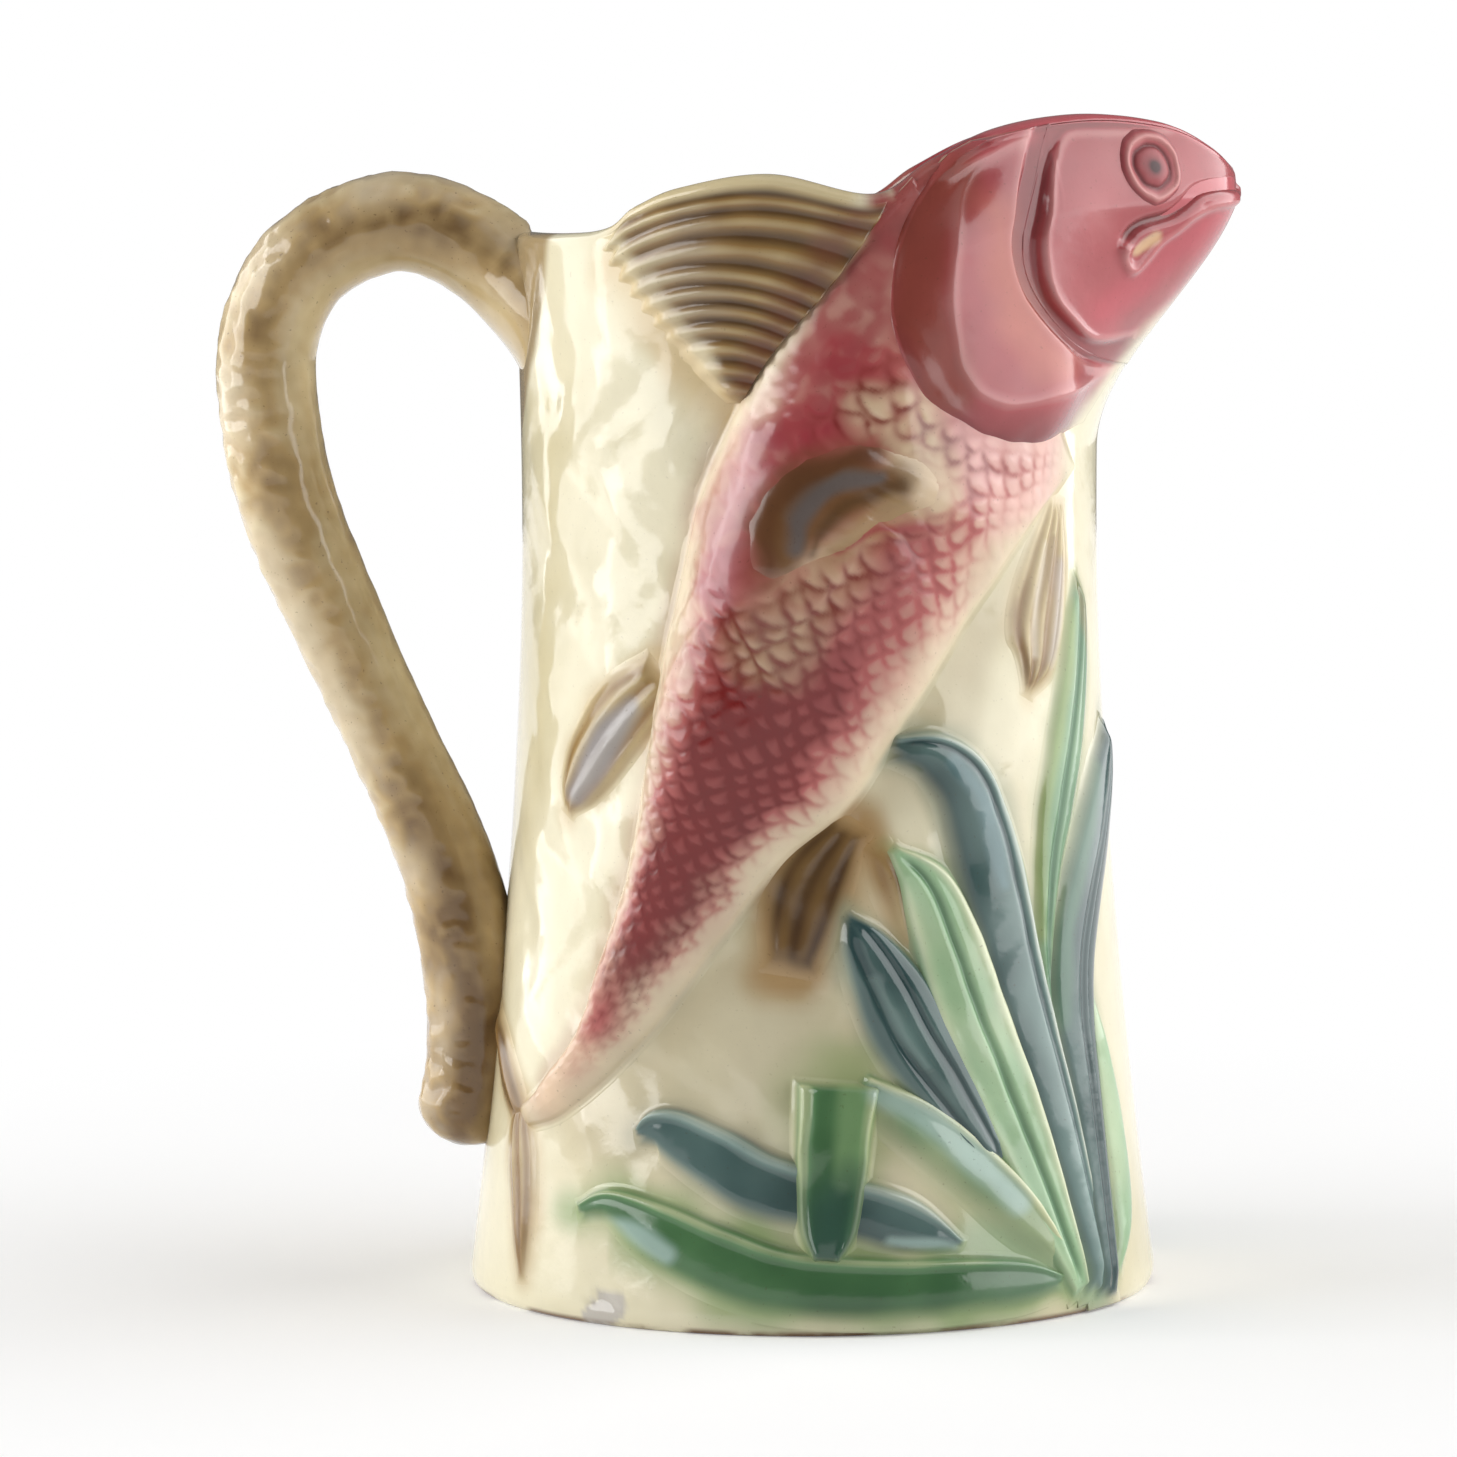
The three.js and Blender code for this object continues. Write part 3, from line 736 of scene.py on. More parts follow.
@dataclass(frozen=True)
class GlazeSkin:
    """The cloudy, faintly pitted skin that every glaze on the jug has.

    Clouds, specks and peel each give the scale and the detail of a noise.
    """

    clouds: Pair = (95.0, 4.0)
    specks: Pair = (1500.0, 1.0)
    peel: Pair = (210.0, 2.0)
    speck_cut: Pair = (0.7, 0.78)
    speck_height: float = 0.12
    gloss_change: float = 0.1
    speck: Colour = srgb(74, 52, 34)

    def group(self) -> Tree:
        """Makes the node group, which changes a glaze's colour, gloss and height.

        Returns:
            The group.
        """
        tree = bpy.data.node_groups.new("glaze_skin", "ShaderNodeTree")
        for name, kind in (("Glaze", "Color"), ("Mottle", "Float"), ("Specks", "Float"), ("Gloss", "Float")):
            tree.interface.new_socket(name, in_out="INPUT", socket_type=f"NodeSocket{kind}")
        for name, kind in (("Colour", "Color"), ("Roughness", "Float"), ("Height", "Float")):
            tree.interface.new_socket(name, in_out="OUTPUT", socket_type=f"NodeSocket{kind}")
        given = tree.nodes.new("NodeGroupInput").outputs
        spot = placed(tree)
        clouds, specks, peel = (clouded(tree, spot, *each) for each in (self.clouds, self.specks, self.peel))
        drift = arithmetic(tree, "SUBTRACT", clouds, 0.5)
        value = arithmetic(tree, "MULTIPLY_ADD", drift, given["Mottle"], 1.0)
        shaded = new_node(tree, "ShaderNodeHueSaturation", {"Color": given["Glaze"], "Value": value})
        marks = arithmetic(tree, "MULTIPLY", ranged(tree, specks, *self.speck_cut), given["Specks"])
        new_node(tree, "NodeGroupOutput", {
            "Colour": blended(tree, marks, shaded.outputs[0], opaque(self.speck)),
            "Roughness": arithmetic(tree, "MULTIPLY_ADD", drift, self.gloss_change, given["Gloss"]),
            "Height": arithmetic(tree, "MULTIPLY_ADD", specks, self.speck_height, peel),
        })
        return tree


@dataclass(frozen=True)
class GroundGlaze:
    """The cream tin glaze of the body, with what has bled into it and the shade painted on it."""

    warm: Colour = srgb(214, 204, 168)
    clouds: Pair = (26.0, 3.0)
    warm_cut: Pair = (0.42, 0.72)

    def group(self) -> Tree:
        """Makes the node group, which gives the ground's colour.

        Returns:
            The group.
        """
        tree = bpy.data.node_groups.new("ground_glaze", "ShaderNodeTree")
        tree.interface.new_socket("Colour", in_out="OUTPUT", socket_type="NodeSocketColor")
        clouds = clouded(tree, placed(tree), *self.clouds)
        cream = blended(tree, ranged(tree, clouds, *self.warm_cut), opaque(CREAM), opaque(self.warm))
        new_node(tree, "NodeGroupOutput", {"Colour": over_paint(tree, cream, "stain")})
        return tree


@dataclass(frozen=True)
class Glaze:
    """A coloured glaze: pale where it runs thin over edges, dark where it pools."""

    name: str
    thin: Colour
    body: Colour
    pool: Colour
    gloss: float = 0.13
    mottle: float = 0.3
    specks: float = 0.25
    coat: float = 0.2
    coat_roughness: float = 0.04
    relief: float = 0.08

    def material(self, skin: Tree, ground: Tree) -> Material:
        """Makes the glaze, which fades into the ground where its cover ends.

        Args:
            skin: The skin of all glazes.
            ground: The colour of the ground.

        Returns:
            The material.
        """
        made, tree, shader = new_material(self.name)
        ramp = new_node(tree, "ShaderNodeValToRGB", {"Fac": carried(tree, "depth")})
        stops = ramp.color_ramp.elements
        stops.new(HALF_DEPTH)
        for stop, colour in zip(stops, (self.thin, self.body, self.pool)):
            stop.color = opaque(colour)
        colour = over_paint(tree, ramp.outputs["Color"], "tint")
        bare = new_node(tree, "ShaderNodeGroup", node_tree=ground).outputs["Colour"]
        self.finish(tree, shader, skin, blended(tree, carried(tree, "cover"), bare, colour))
        return made

    def finish(self, tree: Tree, shader: bpy.types.Node, skin: Tree, colour: Socket) -> None:
        """Gives a shader this glaze's skin and shine.

        Args:
            tree: The material's nodes.
            shader: The shader.
            skin: The skin of all glazes.
            colour: The colour under the skin.
        """
        inputs = {"Glaze": colour, "Mottle": self.mottle, "Specks": self.specks, "Gloss": self.gloss}
        surface = new_node(tree, "ShaderNodeGroup", inputs, node_tree=skin).outputs
        pits = {"Height": surface["Height"], "Strength": self.relief, "Distance": MM}
        tree.links.new(surface["Colour"], shader.inputs["Base Color"])
        tree.links.new(surface["Roughness"], shader.inputs["Roughness"])
        tree.links.new(new_node(tree, "ShaderNodeBump", pits).outputs["Normal"], shader.inputs["Normal"])
        shader.inputs["Coat Weight"].default_value = self.coat
        shader.inputs["Coat Roughness"].default_value = self.coat_roughness


class GlazeName(Enum):
    """The glazes of the jug."""

    CREAM = Glaze("cream_glaze", CREAM, CREAM, CREAM, gloss=0.1, mottle=0.12, specks=0.12)
    BARK = Glaze(
        "bark_glaze", srgb(222, 206, 168), srgb(184, 156, 108), srgb(118, 90, 54), mottle=0.5, specks=0.4
    )
    RED = Glaze(
        "red_glaze", srgb(226, 196, 172), srgb(176, 92, 88), srgb(118, 24, 22),
        gloss=0.2, mottle=0.35, coat=0.1,
    )
    ROSE = Glaze("rose_glaze", srgb(214, 156, 152), srgb(170, 78, 82), srgb(98, 34, 32), gloss=0.2)
    INK = Glaze("eye_glaze", srgb(214, 152, 148), srgb(170, 80, 84), srgb(62, 18, 22), gloss=0.45, coat=0.0)
    UMBER = Glaze(
        "fin_glaze", srgb(206, 188, 142), srgb(142, 110, 64), srgb(72, 48, 24),
        gloss=0.2, mottle=0.4, coat=0.1,
    )
    TEAL = Glaze("teal_glaze", srgb(204, 210, 192), srgb(114, 140, 134), srgb(46, 72, 72))
    LEAF = Glaze("leaf_glaze", srgb(222, 228, 192), srgb(150, 184, 142), srgb(74, 120, 80))
    GREEN = Glaze("green_glaze", srgb(208, 212, 168), srgb(88, 130, 84), srgb(32, 74, 42))


@dataclass(frozen=True)
class Blade:
    """A strip of relief along a line of angle, height and half width: a reed or a fin.

    Rim and feather give a value for the right and the left of the line on the flat wall, where the angle
    grows to the right. Tone gives a value for each end.
    """

    line: Knots
    edge: float = 0.9
    crown: float = 1.6
    rim: Pair = (0.0, 0.0)
    feather: Pair = (0.9, 0.9)
    creases: Knots = ()
    rays: int = 0
    ray_depth: float = 0.0
    tone: Pair = (0.5, 0.5)
    lean: float = 0.0
    on_fish: bool = False
    skirt: float = 2.0
    row_step: float = 0.6
    column_step: float = 0.45
    full_half: float = 3.2
    most_across: float = 1.3
    middle: float = 0.3
    end_fade: Pair = (-1.0, 5.0)
    crown_round: float = 0.8
    rim_form: Hump = Hump(1.0, 0.82, 0.2)
    rim_half: float = 2.4
    rim_tone: float = 0.4
    crease_width: float = 0.7
    crease_tone: float = 0.45
    ray_tone: float = 0.7
    grain_tone: float = 0.14
    worn_tone: Hump = Hump(-0.16, 0.92, 0.12)
    pool_tone: Hump = Hump(0.2, -0.4, 0.5)
    flesh_half: float = 20.0

    def spine(self) -> tuple[Array, Array, float]:
        """The centre line on the flat wall, run out past both ends.

        Returns:
            Evenly spaced points with their half widths, how far along each is, and the length.
        """
        dense = Contour(self.line, 12 * len(self.line)).points()
        ends = []
        for last, before in ((dense[0], dense[1]), (dense[-1], dense[-2])):
            way = (last - before)[:2]
            ends.append(np.append(last[:2] + way / np.hypot(*way) * self.skirt, last[2]))
        dense = np.vstack([ends[0], dense, ends[1]])
        length = np.hypot(*np.diff(dense[:, :2], axis=0).T).sum()
        return *evened(dense, int(length / self.row_step)), length

    def sheet(self, tints: tuple[Blush, ...]) -> Sheet:
        """The strip as a sheet.

        Args:
            tints: Colours laid over the strip's glaze.

        Returns:
            The sheet, reaching a little past the strip's outline.
        """
        line, run, length = self.spine()
        half = np.maximum(line[:, 2:3], 0.3)
        way = unit(np.gradient(line[:, :2], axis=0))
        side = np.stack([-way[:, 1], way[:, 0]], axis=1)
        share = np.linspace(-1, 1, int(2 * (half.max() + self.skirt) / self.column_step))[None]
        offset = share * (half + self.skirt)
        angle, z = WALL.bent(line[:, None, :2] + side[:, None] * offset[..., None])
        ends = np.minimum(run - self.skirt, length - self.skirt - run)[:, None]
        across = np.clip(offset / half, -self.most_across, self.most_across)
        inside = np.minimum(half - np.abs(offset), ends)
        on_left = smooth(-self.middle, self.middle, across)
        feather = mix(*self.feather, on_left)
        body = smooth(-0.9, feather, inside)
        taper = np.minimum(1.0, half / self.full_half) * smooth(*self.end_fade, ends)
        lift = self.edge * body
        lift = lift + self.crown * taper * np.maximum(0, 1 - across**2) ** self.crown_round * body
        raised = mix(*self.rim, on_left) * self.rim_form.over(np.abs(across)) * body
        lift += raised * np.minimum(1, half / self.rim_half)
        grain = wobble(WALL.face(angle, z), GRAIN_SIZE, Seed.BLADE)
        depth = mix(*self.tone, (run / length)[:, None]) + self.grain_tone * grain
        depth = depth + self.lean * np.clip(across, -1, 1)
        depth = depth - self.rim_tone * np.minimum(1, raised / 0.6)
        for place, deep in self.creases:
            fold = bell(offset - place * half, self.crease_width) * body * taper
            lift -= deep * fold
            depth = depth + self.crease_tone * fold
        if self.rays:
            ray = np.cos(math.pi * self.rays * (across + 1)) * body * taper
            lift += self.ray_depth * ray
            depth = depth - self.ray_tone * self.ray_depth * ray
        soft = np.maximum(0.5, feather)
        cover = smooth(-1.0, soft, inside + 0.4 * grain)
        sunk = LUTING
        if self.on_fish:
            lift = lift + FLANK.height(angle, z)
            cover = np.ones(cover.shape)
            flesh = Blush(tuple((a, h, self.flesh_half) for a, h, _ in self.line), FLANK.flesh, 1.0)
            tints = (flesh, *FLANK.blushes(), *tints)
            sunk = DEEP_LUTING
        lift = lift + 0.05 - sunk * (1 - smooth(-self.skirt, -0.4 * self.skirt, inside))
        depth = depth + self.worn_tone.over(np.abs(across)) * body + self.pool_tone.over(inside)
        return Sheet(angle, z, lift, cover, np.clip(depth, 0, 1), painted(list(tints), angle, z))


@dataclass
class FlankGrid:
    """Places over the fish's flank, in rows from the tail on and columns from the back to the belly."""

    angle: Array
    z: Array
    width: Array
    run: Array
    ends: Array
    offset: Array
    share: Array
    gap: Array
    points: Array
    grain: Array


@dataclass(frozen=True)
class FishFlank:
    """The scaled body of the fish, from the tail up to the gill cover.

    Places on it run along from the tail (0) to the gill (1) and across from the back (0) to the belly (1).
    """

    back: Knots = (
        (153.5, 36), (144.5, 42.5), (134.5, 55.5), (126.5, 80), (123, 98), (121, 113), (117, 131), (112, 150),
        (104, 167), (93, 182), (69.5, 206),
    )
    belly: Knots = (
        (151.5, 33), (138, 37.8), (122, 51.5), (108, 70), (96, 85), (85, 94), (75, 107), (65, 121),
        (53, 135), (40, 147), (26, 156),
    )
    swell: tuple[float, ...] = (1, 2.6, 4.6, 7, 9, 11, 12, 11.5, 9.5, 6.5, 3.5)
    crest: float = 0.36
    back_round: float = 2.6
    belly_round: float = 2.2
    throat_least: float = 0.15
    throat_fade: Pair = (22.0, 46.0)
    rows: int = 440
    columns: int = 124
    skirt: float = 2.2
    edge_lift: float = 0.6
    scale_least: float = 2.8
    scale_growth: float = 0.041
    scale_row: float = 0.56
    scale_bow: float = 1.1
    scale_hollow: float = 0.4
    scale_lift: float = 0.062
    scale_drift: float = 0.55
    scale_high: float = 1.5
    scale_low: float = 0.55
    band_across: Pair = (0.17, 0.25)
    band_start: Pair = (0.5, 0.62)
    band_plain: float = 0.6
    band_skin: float = 0.16
    upper_start: Pair = (0.52, 0.66)
    red_back: tuple[Pair, Pair] = ((0.12, 0.42), (0.04, 0.3))
    red_belly: tuple[Pair, Pair] = ((0.66, 0.92), (0.55, 0.86))
    pale_share: float = 0.45
    line_strength: float = 1.6
    line_clear: float = 0.85
    thin_depth: float = 0.1
    red_depth: float = 0.66
    line_depth: float = 0.5
    dab_share: float = 0.36
    flesh: Colour = srgb(176, 104, 98)

    def profile(self, share: Array) -> Array:
        """Rise of the body's section, from 0 to 1, between its back (0) and its belly (1)."""
        rear, front = 1 - share / self.crest, (share - self.crest) / (1 - self.crest)
        return (1 - np.clip(rear, 0, 1) ** self.back_round) * (1 - np.clip(front, 0, 1) ** self.belly_round)

    def throat(self, angle: Array) -> Array:
        """How much of its rise the body keeps as it runs out under the spout."""
        return mix(self.throat_least, 1.0, smooth(*self.throat_fade, angle))

    def height(self, angle: Array, z: Array) -> Array:
        """Smooth rise of the body over the wall.

        Args:
            angle: Angles of the places.
            z: Heights of the places.

        Returns:
            The rise at each place, 0 off the body.
        """
        from_back, along, _ = Contour(self.back).measure(angle, z)
        past_belly, along_belly, _ = Contour(self.belly).measure(angle, z)
        share = np.clip(from_back / np.maximum(from_back - past_belly, TINY), 0, 1)
        place = 0.5 * (along + along_belly) * (len(self.swell) - 1)
        rise = np.interp(place, np.arange(len(self.swell)), self.swell)
        held = (from_back > 0) & (past_belly < 0)
        return np.where(held, rise * self.profile(share) * self.throat(angle), 0.0)

    def scales(self, along: Array, across: Array) -> tuple[Array, Array]:
        """Overlapping rounded scales whose free edges face the tail.

        Args:
            along: Place along the body, counted in rows of scales towards the tail.
            across: Place across the body, counted in scales.

        Returns:
            The height, and the mask of the hollows between the scales.
        """
        row = np.floor(along)
        above = np.full(across.shape, -2.0)
        own = np.full(across.shape, np.nan)
        for step in (-1, 0, 1):
            away = np.mod(across - 0.5 * np.mod(row + step, 2), 1.0) - 0.5
            edge = step + self.scale_bow * np.sqrt(1 - 4 * away**2)
            hidden = np.isnan(own) & (along - row > edge)
            above = np.where(hidden, np.maximum(above, edge), above)
            own = np.where(np.isnan(own) & ~hidden, edge, own)
        under = along - row - above
        left = own - along + row
        height = smooth(0.0, 1.3, under) * smooth(-0.1, 0.4, left)
        return height, np.exp(-under / self.scale_hollow)

    def grid(self) -> FlankGrid:
        """Lays out the flank's places, a skirt past the back and the belly included.

        Returns:
            The places.
        """
        back, belly = (WALL.laid(line, self.rows) for line in (self.back, self.belly))
        width = np.linalg.norm(belly - back, axis=1)[:, None]
        centre = 0.5 * (back + belly)
        run = np.concatenate([[0], np.cumsum(np.linalg.norm(np.diff(centre, axis=0), axis=1))])[:, None]
        offset = np.linspace(0, 1, self.columns)[None] * (width + 2 * self.skirt) - self.skirt
        share = offset / width
        angle, z = WALL.bent(back[:, None] + (belly - back)[:, None] * share[..., None])
        ends, gap = np.minimum(run, run[-1] - run), np.minimum(offset, width - offset)
        points = WALL.face(angle, z)
        grain = wobble(points, GRAIN_SIZE, Seed.FLANK)
        return FlankGrid(angle, z, width, run, ends, offset, share, gap, points, grain)

    def relief(self, on: FlankGrid) -> tuple[Array, Array]:
        """Works out the flank's height with its scales.

        Args:
            on: The flank's places.

        Returns:
            The height over the wall, and the mask of the hollows between scales.
        """
        rise = drawn(np.array(self.swell, float)[:, None], self.rows)
        pitch = self.scale_least + self.scale_growth * on.width
        steps = np.diff(on.run[:, 0]) / (self.scale_row * pitch[1:, 0])
        rows = np.concatenate([[0], np.cumsum(steps)])
        drift = self.scale_drift * wobble(on.points, 8.0, Seed.SCALE_DRIFT)
        count = (rows[-1] - rows)[:, None] + drift
        scale, hollow = self.scales(count, (on.offset - 0.5 * on.width) / pitch + drift)
        band = 1 - smooth(*self.band_across, on.share + 0.02 * on.grain)
        band = band * smooth(*self.band_start, on.run / on.run[-1])
        # Scales stand off the edges, the plain band on the back, the gill cover and the pectoral fin.
        from_fin, _, half = Contour(PECTORAL.blades[0].line).measure(on.angle, on.z)
        held = smooth(0.2, 3.0, on.gap) * smooth(2.0, 9.0, on.ends)
        held = held * (1 - self.band_plain * band)
        held = held * smooth(0.3, 4.0, HEAD.rear.measure(on.angle, on.z)[0])
        held = held * smooth(-0.5, 3.0, np.abs(from_fin) - half)
        inside = np.minimum(on.gap, on.ends - self.skirt)
        ease = mix(self.scale_high, self.scale_low, smooth(0.15, 0.5, on.share))
        lift = rise * self.profile(np.clip(on.share, 0, 1)) * smooth(-0.5, 5.0, on.ends)
        lift += self.edge_lift * smooth(-0.9, 0.7, inside)
        lift += softened(self.scale_lift * pitch * (scale - 0.5) * held * ease, 2)
        lift *= smooth(1.0, 15.0, WALL.rim(on.angle) - on.z)
        lift += self.band_skin * band * wobble(on.points, 4.0, Seed.BACK_SKIN)
        lift *= self.throat(on.angle)
        lift += 0.05 - LUTING * (1 - smooth(-self.skirt, -0.5 * self.skirt, inside))
        return lift, softened(hollow * mix(0.3, 1.0, held), 1)

    def sheet(self) -> Sheet:
        """The flank as a sheet with its scales and its colours.

        Returns:
            The sheet.
        """
        on = self.grid()
        lift, hollow = self.relief(on)
        streak = wobble(on.points, 3.5, Seed.STREAK)
        edge = on.share + 0.1 * on.grain + 0.06 * streak
        place = on.run / on.run[-1]
        upper = smooth(*self.upper_start, place)
        behind = smooth(*slid(*self.red_back, upper), on.share + 0.06 * on.grain)
        red = behind * (1 - smooth(*slid(*self.red_belly, upper), edge)) * smooth(0.02, 0.27, place)
        red = red * (1 - self.pale_share * smooth(0.56, 0.72, place + 0.04 * on.grain))
        lines = mix(0.25, 1.0, behind) * (1 - smooth(0.72, 1.02, edge))
        lines = lines * smooth(0.06, 0.3, place)
        lines = np.clip(self.line_strength * lines * hollow, 0, 1)
        depth = self.thin_depth + self.red_depth * red + self.line_depth * lines + 0.08 * streak
        depth = depth + 0.1 * on.grain
        tint = painted(self.blushes(), on.angle, on.z)
        tint[..., 3] *= 1 - self.line_clear * lines
        dabs = smooth(-0.1, 0.5, wobble(on.points, 2.6, Seed.DAB))
        dabs = dabs * upper * (1 - smooth(0.45, 0.65, on.share))
        tint[..., 3] *= 1 - self.dab_share * dabs * smooth(6.0, 20.0, WALL.rim(on.angle) - on.z)
        cover = smooth(-1.1, 0.6, on.gap + 0.4 * on.grain)
        cover = cover * smooth(24.0, 42.0, on.angle) * smooth(0.0, 12.0, on.run)
        return Sheet(on.angle, on.z, lift, cover, np.clip(depth, 0, 1), tint)

    def blushes(self) -> list[Blush]:
        """Colours laid by hand over the red of the scales, with painted highlights along the back.

        Returns:
            The patches, the lowest first.
        """
        cream, tan, crimson = srgb(228, 214, 182), srgb(206, 184, 148), srgb(150, 34, 52)
        wine, flush, mauve = srgb(134, 38, 44), srgb(238, 192, 184), srgb(180, 114, 122)
        peach, sand, bark = srgb(226, 196, 166), srgb(216, 196, 160), srgb(116, 70, 44)
        belly = tuple((a, z, 1.5) for a, z in self.belly[1:])
        return [
            Blush(((97, 121, 2), (93.4, 129.5, 4), (90, 136, 5), (85, 141, 3)), tan, 7.0, 0.7),
            Blush(((74.5, 144, 1.5), (74.3, 137, 2.5), (77.6, 125, 3.5), (86, 117, 4)), wine, 6.0, 0.45),
            Blush(belly, cream, 7.0, 0.9),
            # Pale glaze and a painted highlight along the lower back edge of the fish.
            Blush(((127, 76, 1), (122, 92, 1.6), (119, 110, 2), (116.5, 125, 2.4), (113, 140, 2.4)),
                  cream, 5.5, 0.85),
            Blush(((153, 35, 1.5), (147, 39, 3), (138, 49, 3), (128, 72, 1)), peach, 7.0, 0.9),
            Blush(((64, 160, 2), (57, 155, 5), (50, 153, 5), (40, 154, 5)), flush, 7.0, 0.8),
            Blush(((105.3, 135, 2), (102.8, 145.6, 3), (101.2, 153, 3), (99, 161, 2)), mauve, 4.0, 0.8),
            Blush(((72, 206, 6), (80, 197, 7), (86, 181, 6), (89, 168, 5), (94, 160, 3)), crimson, 5.0, 0.8),
            Blush(((80.5, 166, 1.5), (75, 164, 3.5), (71.5, 158, 4), (69, 151, 3)), sand, 5.0, 0.85),
            # Painted highlight: a thin cream line along the fish's back under the dorsal fin.
            Blush(((112, 152, 1.6), (107, 162, 1.4), (101, 170.5, 0.9), (92, 183, 0.5), (85, 194, 0.2)),
                  cream, 2.6, 0.85),
            Blush(((98, 136, 0.6), (99, 143, 1.4), (95.5, 151, 1.6), (88, 157.5, 1.6), (80, 159.5, 1)),
                  bark, 4.0, 0.8),
            Blush(((88, 139.5, 0.6), (80, 143.5, 1), (73, 147, 1)), srgb(172, 142, 100), 3.0, 0.7),
            Blush(((86.7, 141.2, 0.3), (80.8, 144.2, 0.4), (73.7, 145.4, 0.4), (68, 145.8, 0.2)),
                  crimson, 1.4, 0.8),
        ]


FLANK = FishFlank()


@dataclass(frozen=True)
class FishHead:
    """The head that makes the spout: gill cover, groove, cheek and mouth, and the eye set on the cheek."""

    rear: Contour = Contour((
        (57.5, 214.5), (63.3, 210.7), (70, 203), (75, 192.5), (75.8, 181), (71, 169), (61, 162.2),
        (47, 159.2), (32, 161.4), (21, 164),
    ))
    ridge: Contour = Contour((
        (46.3, 214.9), (54.3, 211.9), (59.3, 209.5), (62.7, 205.2), (64.7, 199.8), (66.1, 189),
        (65.6, 181), (63.6, 174), (59.3, 168.7), (52, 167.3), (42.7, 168.9),
        (30, 170.5), (18, 171.8), (8, 172.4),
    ))
    front: Contour = Contour((
        (45.4, 216), (47.9, 210.3), (50.3, 205.3), (51.9, 200.2), (52.4, 196.1), (51.6, 192),
        (49.7, 187.9), (46.6, 184.2), (42, 180.4), (36.5, 177.6), (30, 175.6), (20, 174), (9, 173.2),
    ))
    groove: Knots = (
        (42.4, 217.3), (45.8, 209), (49, 201), (49.8, 194), (47.5, 188), (42.5, 182.6), (35, 178),
        (26, 175.3), (16, 173.8), (10, 173.5),
    )
    cheek: Contour = Contour((
        (20, 217.5), (28.5, 217), (37.4, 216.8), (40.8, 214.6), (42.4, 212.3), (44, 209.7),
        (45.6, 205.3), (46.5, 201.2), (47.3, 197), (46.9, 192.9), (45.7, 188.8), (43, 184.8),
        (37.9, 181.3), (31.8, 178.4), (25.1, 177.6), (14, 178),
    ))
    mouth: Contour = Contour((
        (27.1, 197), (25.9, 198.7), (23.9, 199.8), (21.4, 200.4), (19.1, 201.2), (16.9, 203.1),
        (14.7, 205.2), (10, 206.2), (2, 206.4),
    ))
    lip: Contour = Contour((
        (27, 196.4), (26.8, 194.4), (25.1, 192), (23.2, 191.3), (21.5, 193.3), (19.6, 196.4),
        (17.1, 198.4), (14.7, 200.8), (11, 202.6), (4, 203.4),
    ))
    gill_height: float = 7.2
    gill_round: float = 1.2
    plate_fall: float = 1.5
    cheek_height: float = 5.7
    cheek_edge: Pair = (-0.1, 1.2)
    floor_height: float = 3.2
    rim_fade: Pair = (0.5, 17.0)
    snout_fade: Pair = (12.0, 46.0)
    step: float = 0.5
    ridge_bead: Hump = Hump(0.25, 0.0, 0.9)
    cheek_bead: Hump = Hump(0.25, 1.1, 0.8)
    mouth_cut: Hump = Hump(-1.5, 0.0, 0.8)
    mouth_roll: Hump = Hump(0.8, 1.7, 1.1)
    lip_roll: Hump = Hump(0.9, 0.0, 0.8)
    groove_tone: float = 0.24
    slope_tone: float = 0.3
    mouth_tone: Hump = Hump(0.38, 0.0, 0.8)
    lip_tone: Hump = Hump(-0.22, 0.0, 0.7)
    ridge_tone: Hump = Hump(-0.2, 0.0, 1.3)
    cheek_tone: Hump = Hump(-0.24, 1.3, 0.8)
    front_tone: Hump = Hump(-0.16, 1.5, 0.8)
    gill_grid: tuple[int, int] = (190, 110)
    gill_skirt: Pair = (1.6, 0.4)
    cheek_grid: tuple[int, int] = (130, 130)
    front_z: float = 173.0
    rim_gap: float = 1.2
    rim_sunk: float = 0.25
    eye_place: Pair = (23.2, 209.6)
    eye_half: Pair = (4.4, 5.8)
    eye_reach: float = 1.3
    eye_ring: Hump = Hump(1.0, 0.96, 0.13)
    eye_moat: Hump = Hump(0.35, 0.76, 0.09)
    ball_height: float = 1.4
    ball_share: float = 0.66
    ring_tone: Hump = Hump(-0.4, 0.96, 0.12)
    moat_tone: Hump = Hump(0.32, 0.68, 0.1)
    pupil_tone: Hump = Hump(0.6, 0.0, 0.22)
    socket_tone: Hump = Hump(0.22, 1.14, 0.08)

    def fade(self, angle: Array, z: Array) -> Array:
        """How far the head stands off the wall: little at the rim and under the snout."""
        under_rim = smooth(*self.rim_fade, WALL.rim(angle) - z)
        return under_rim * mix(0.04, 1.0, smooth(*self.snout_fade, np.abs(angle)))

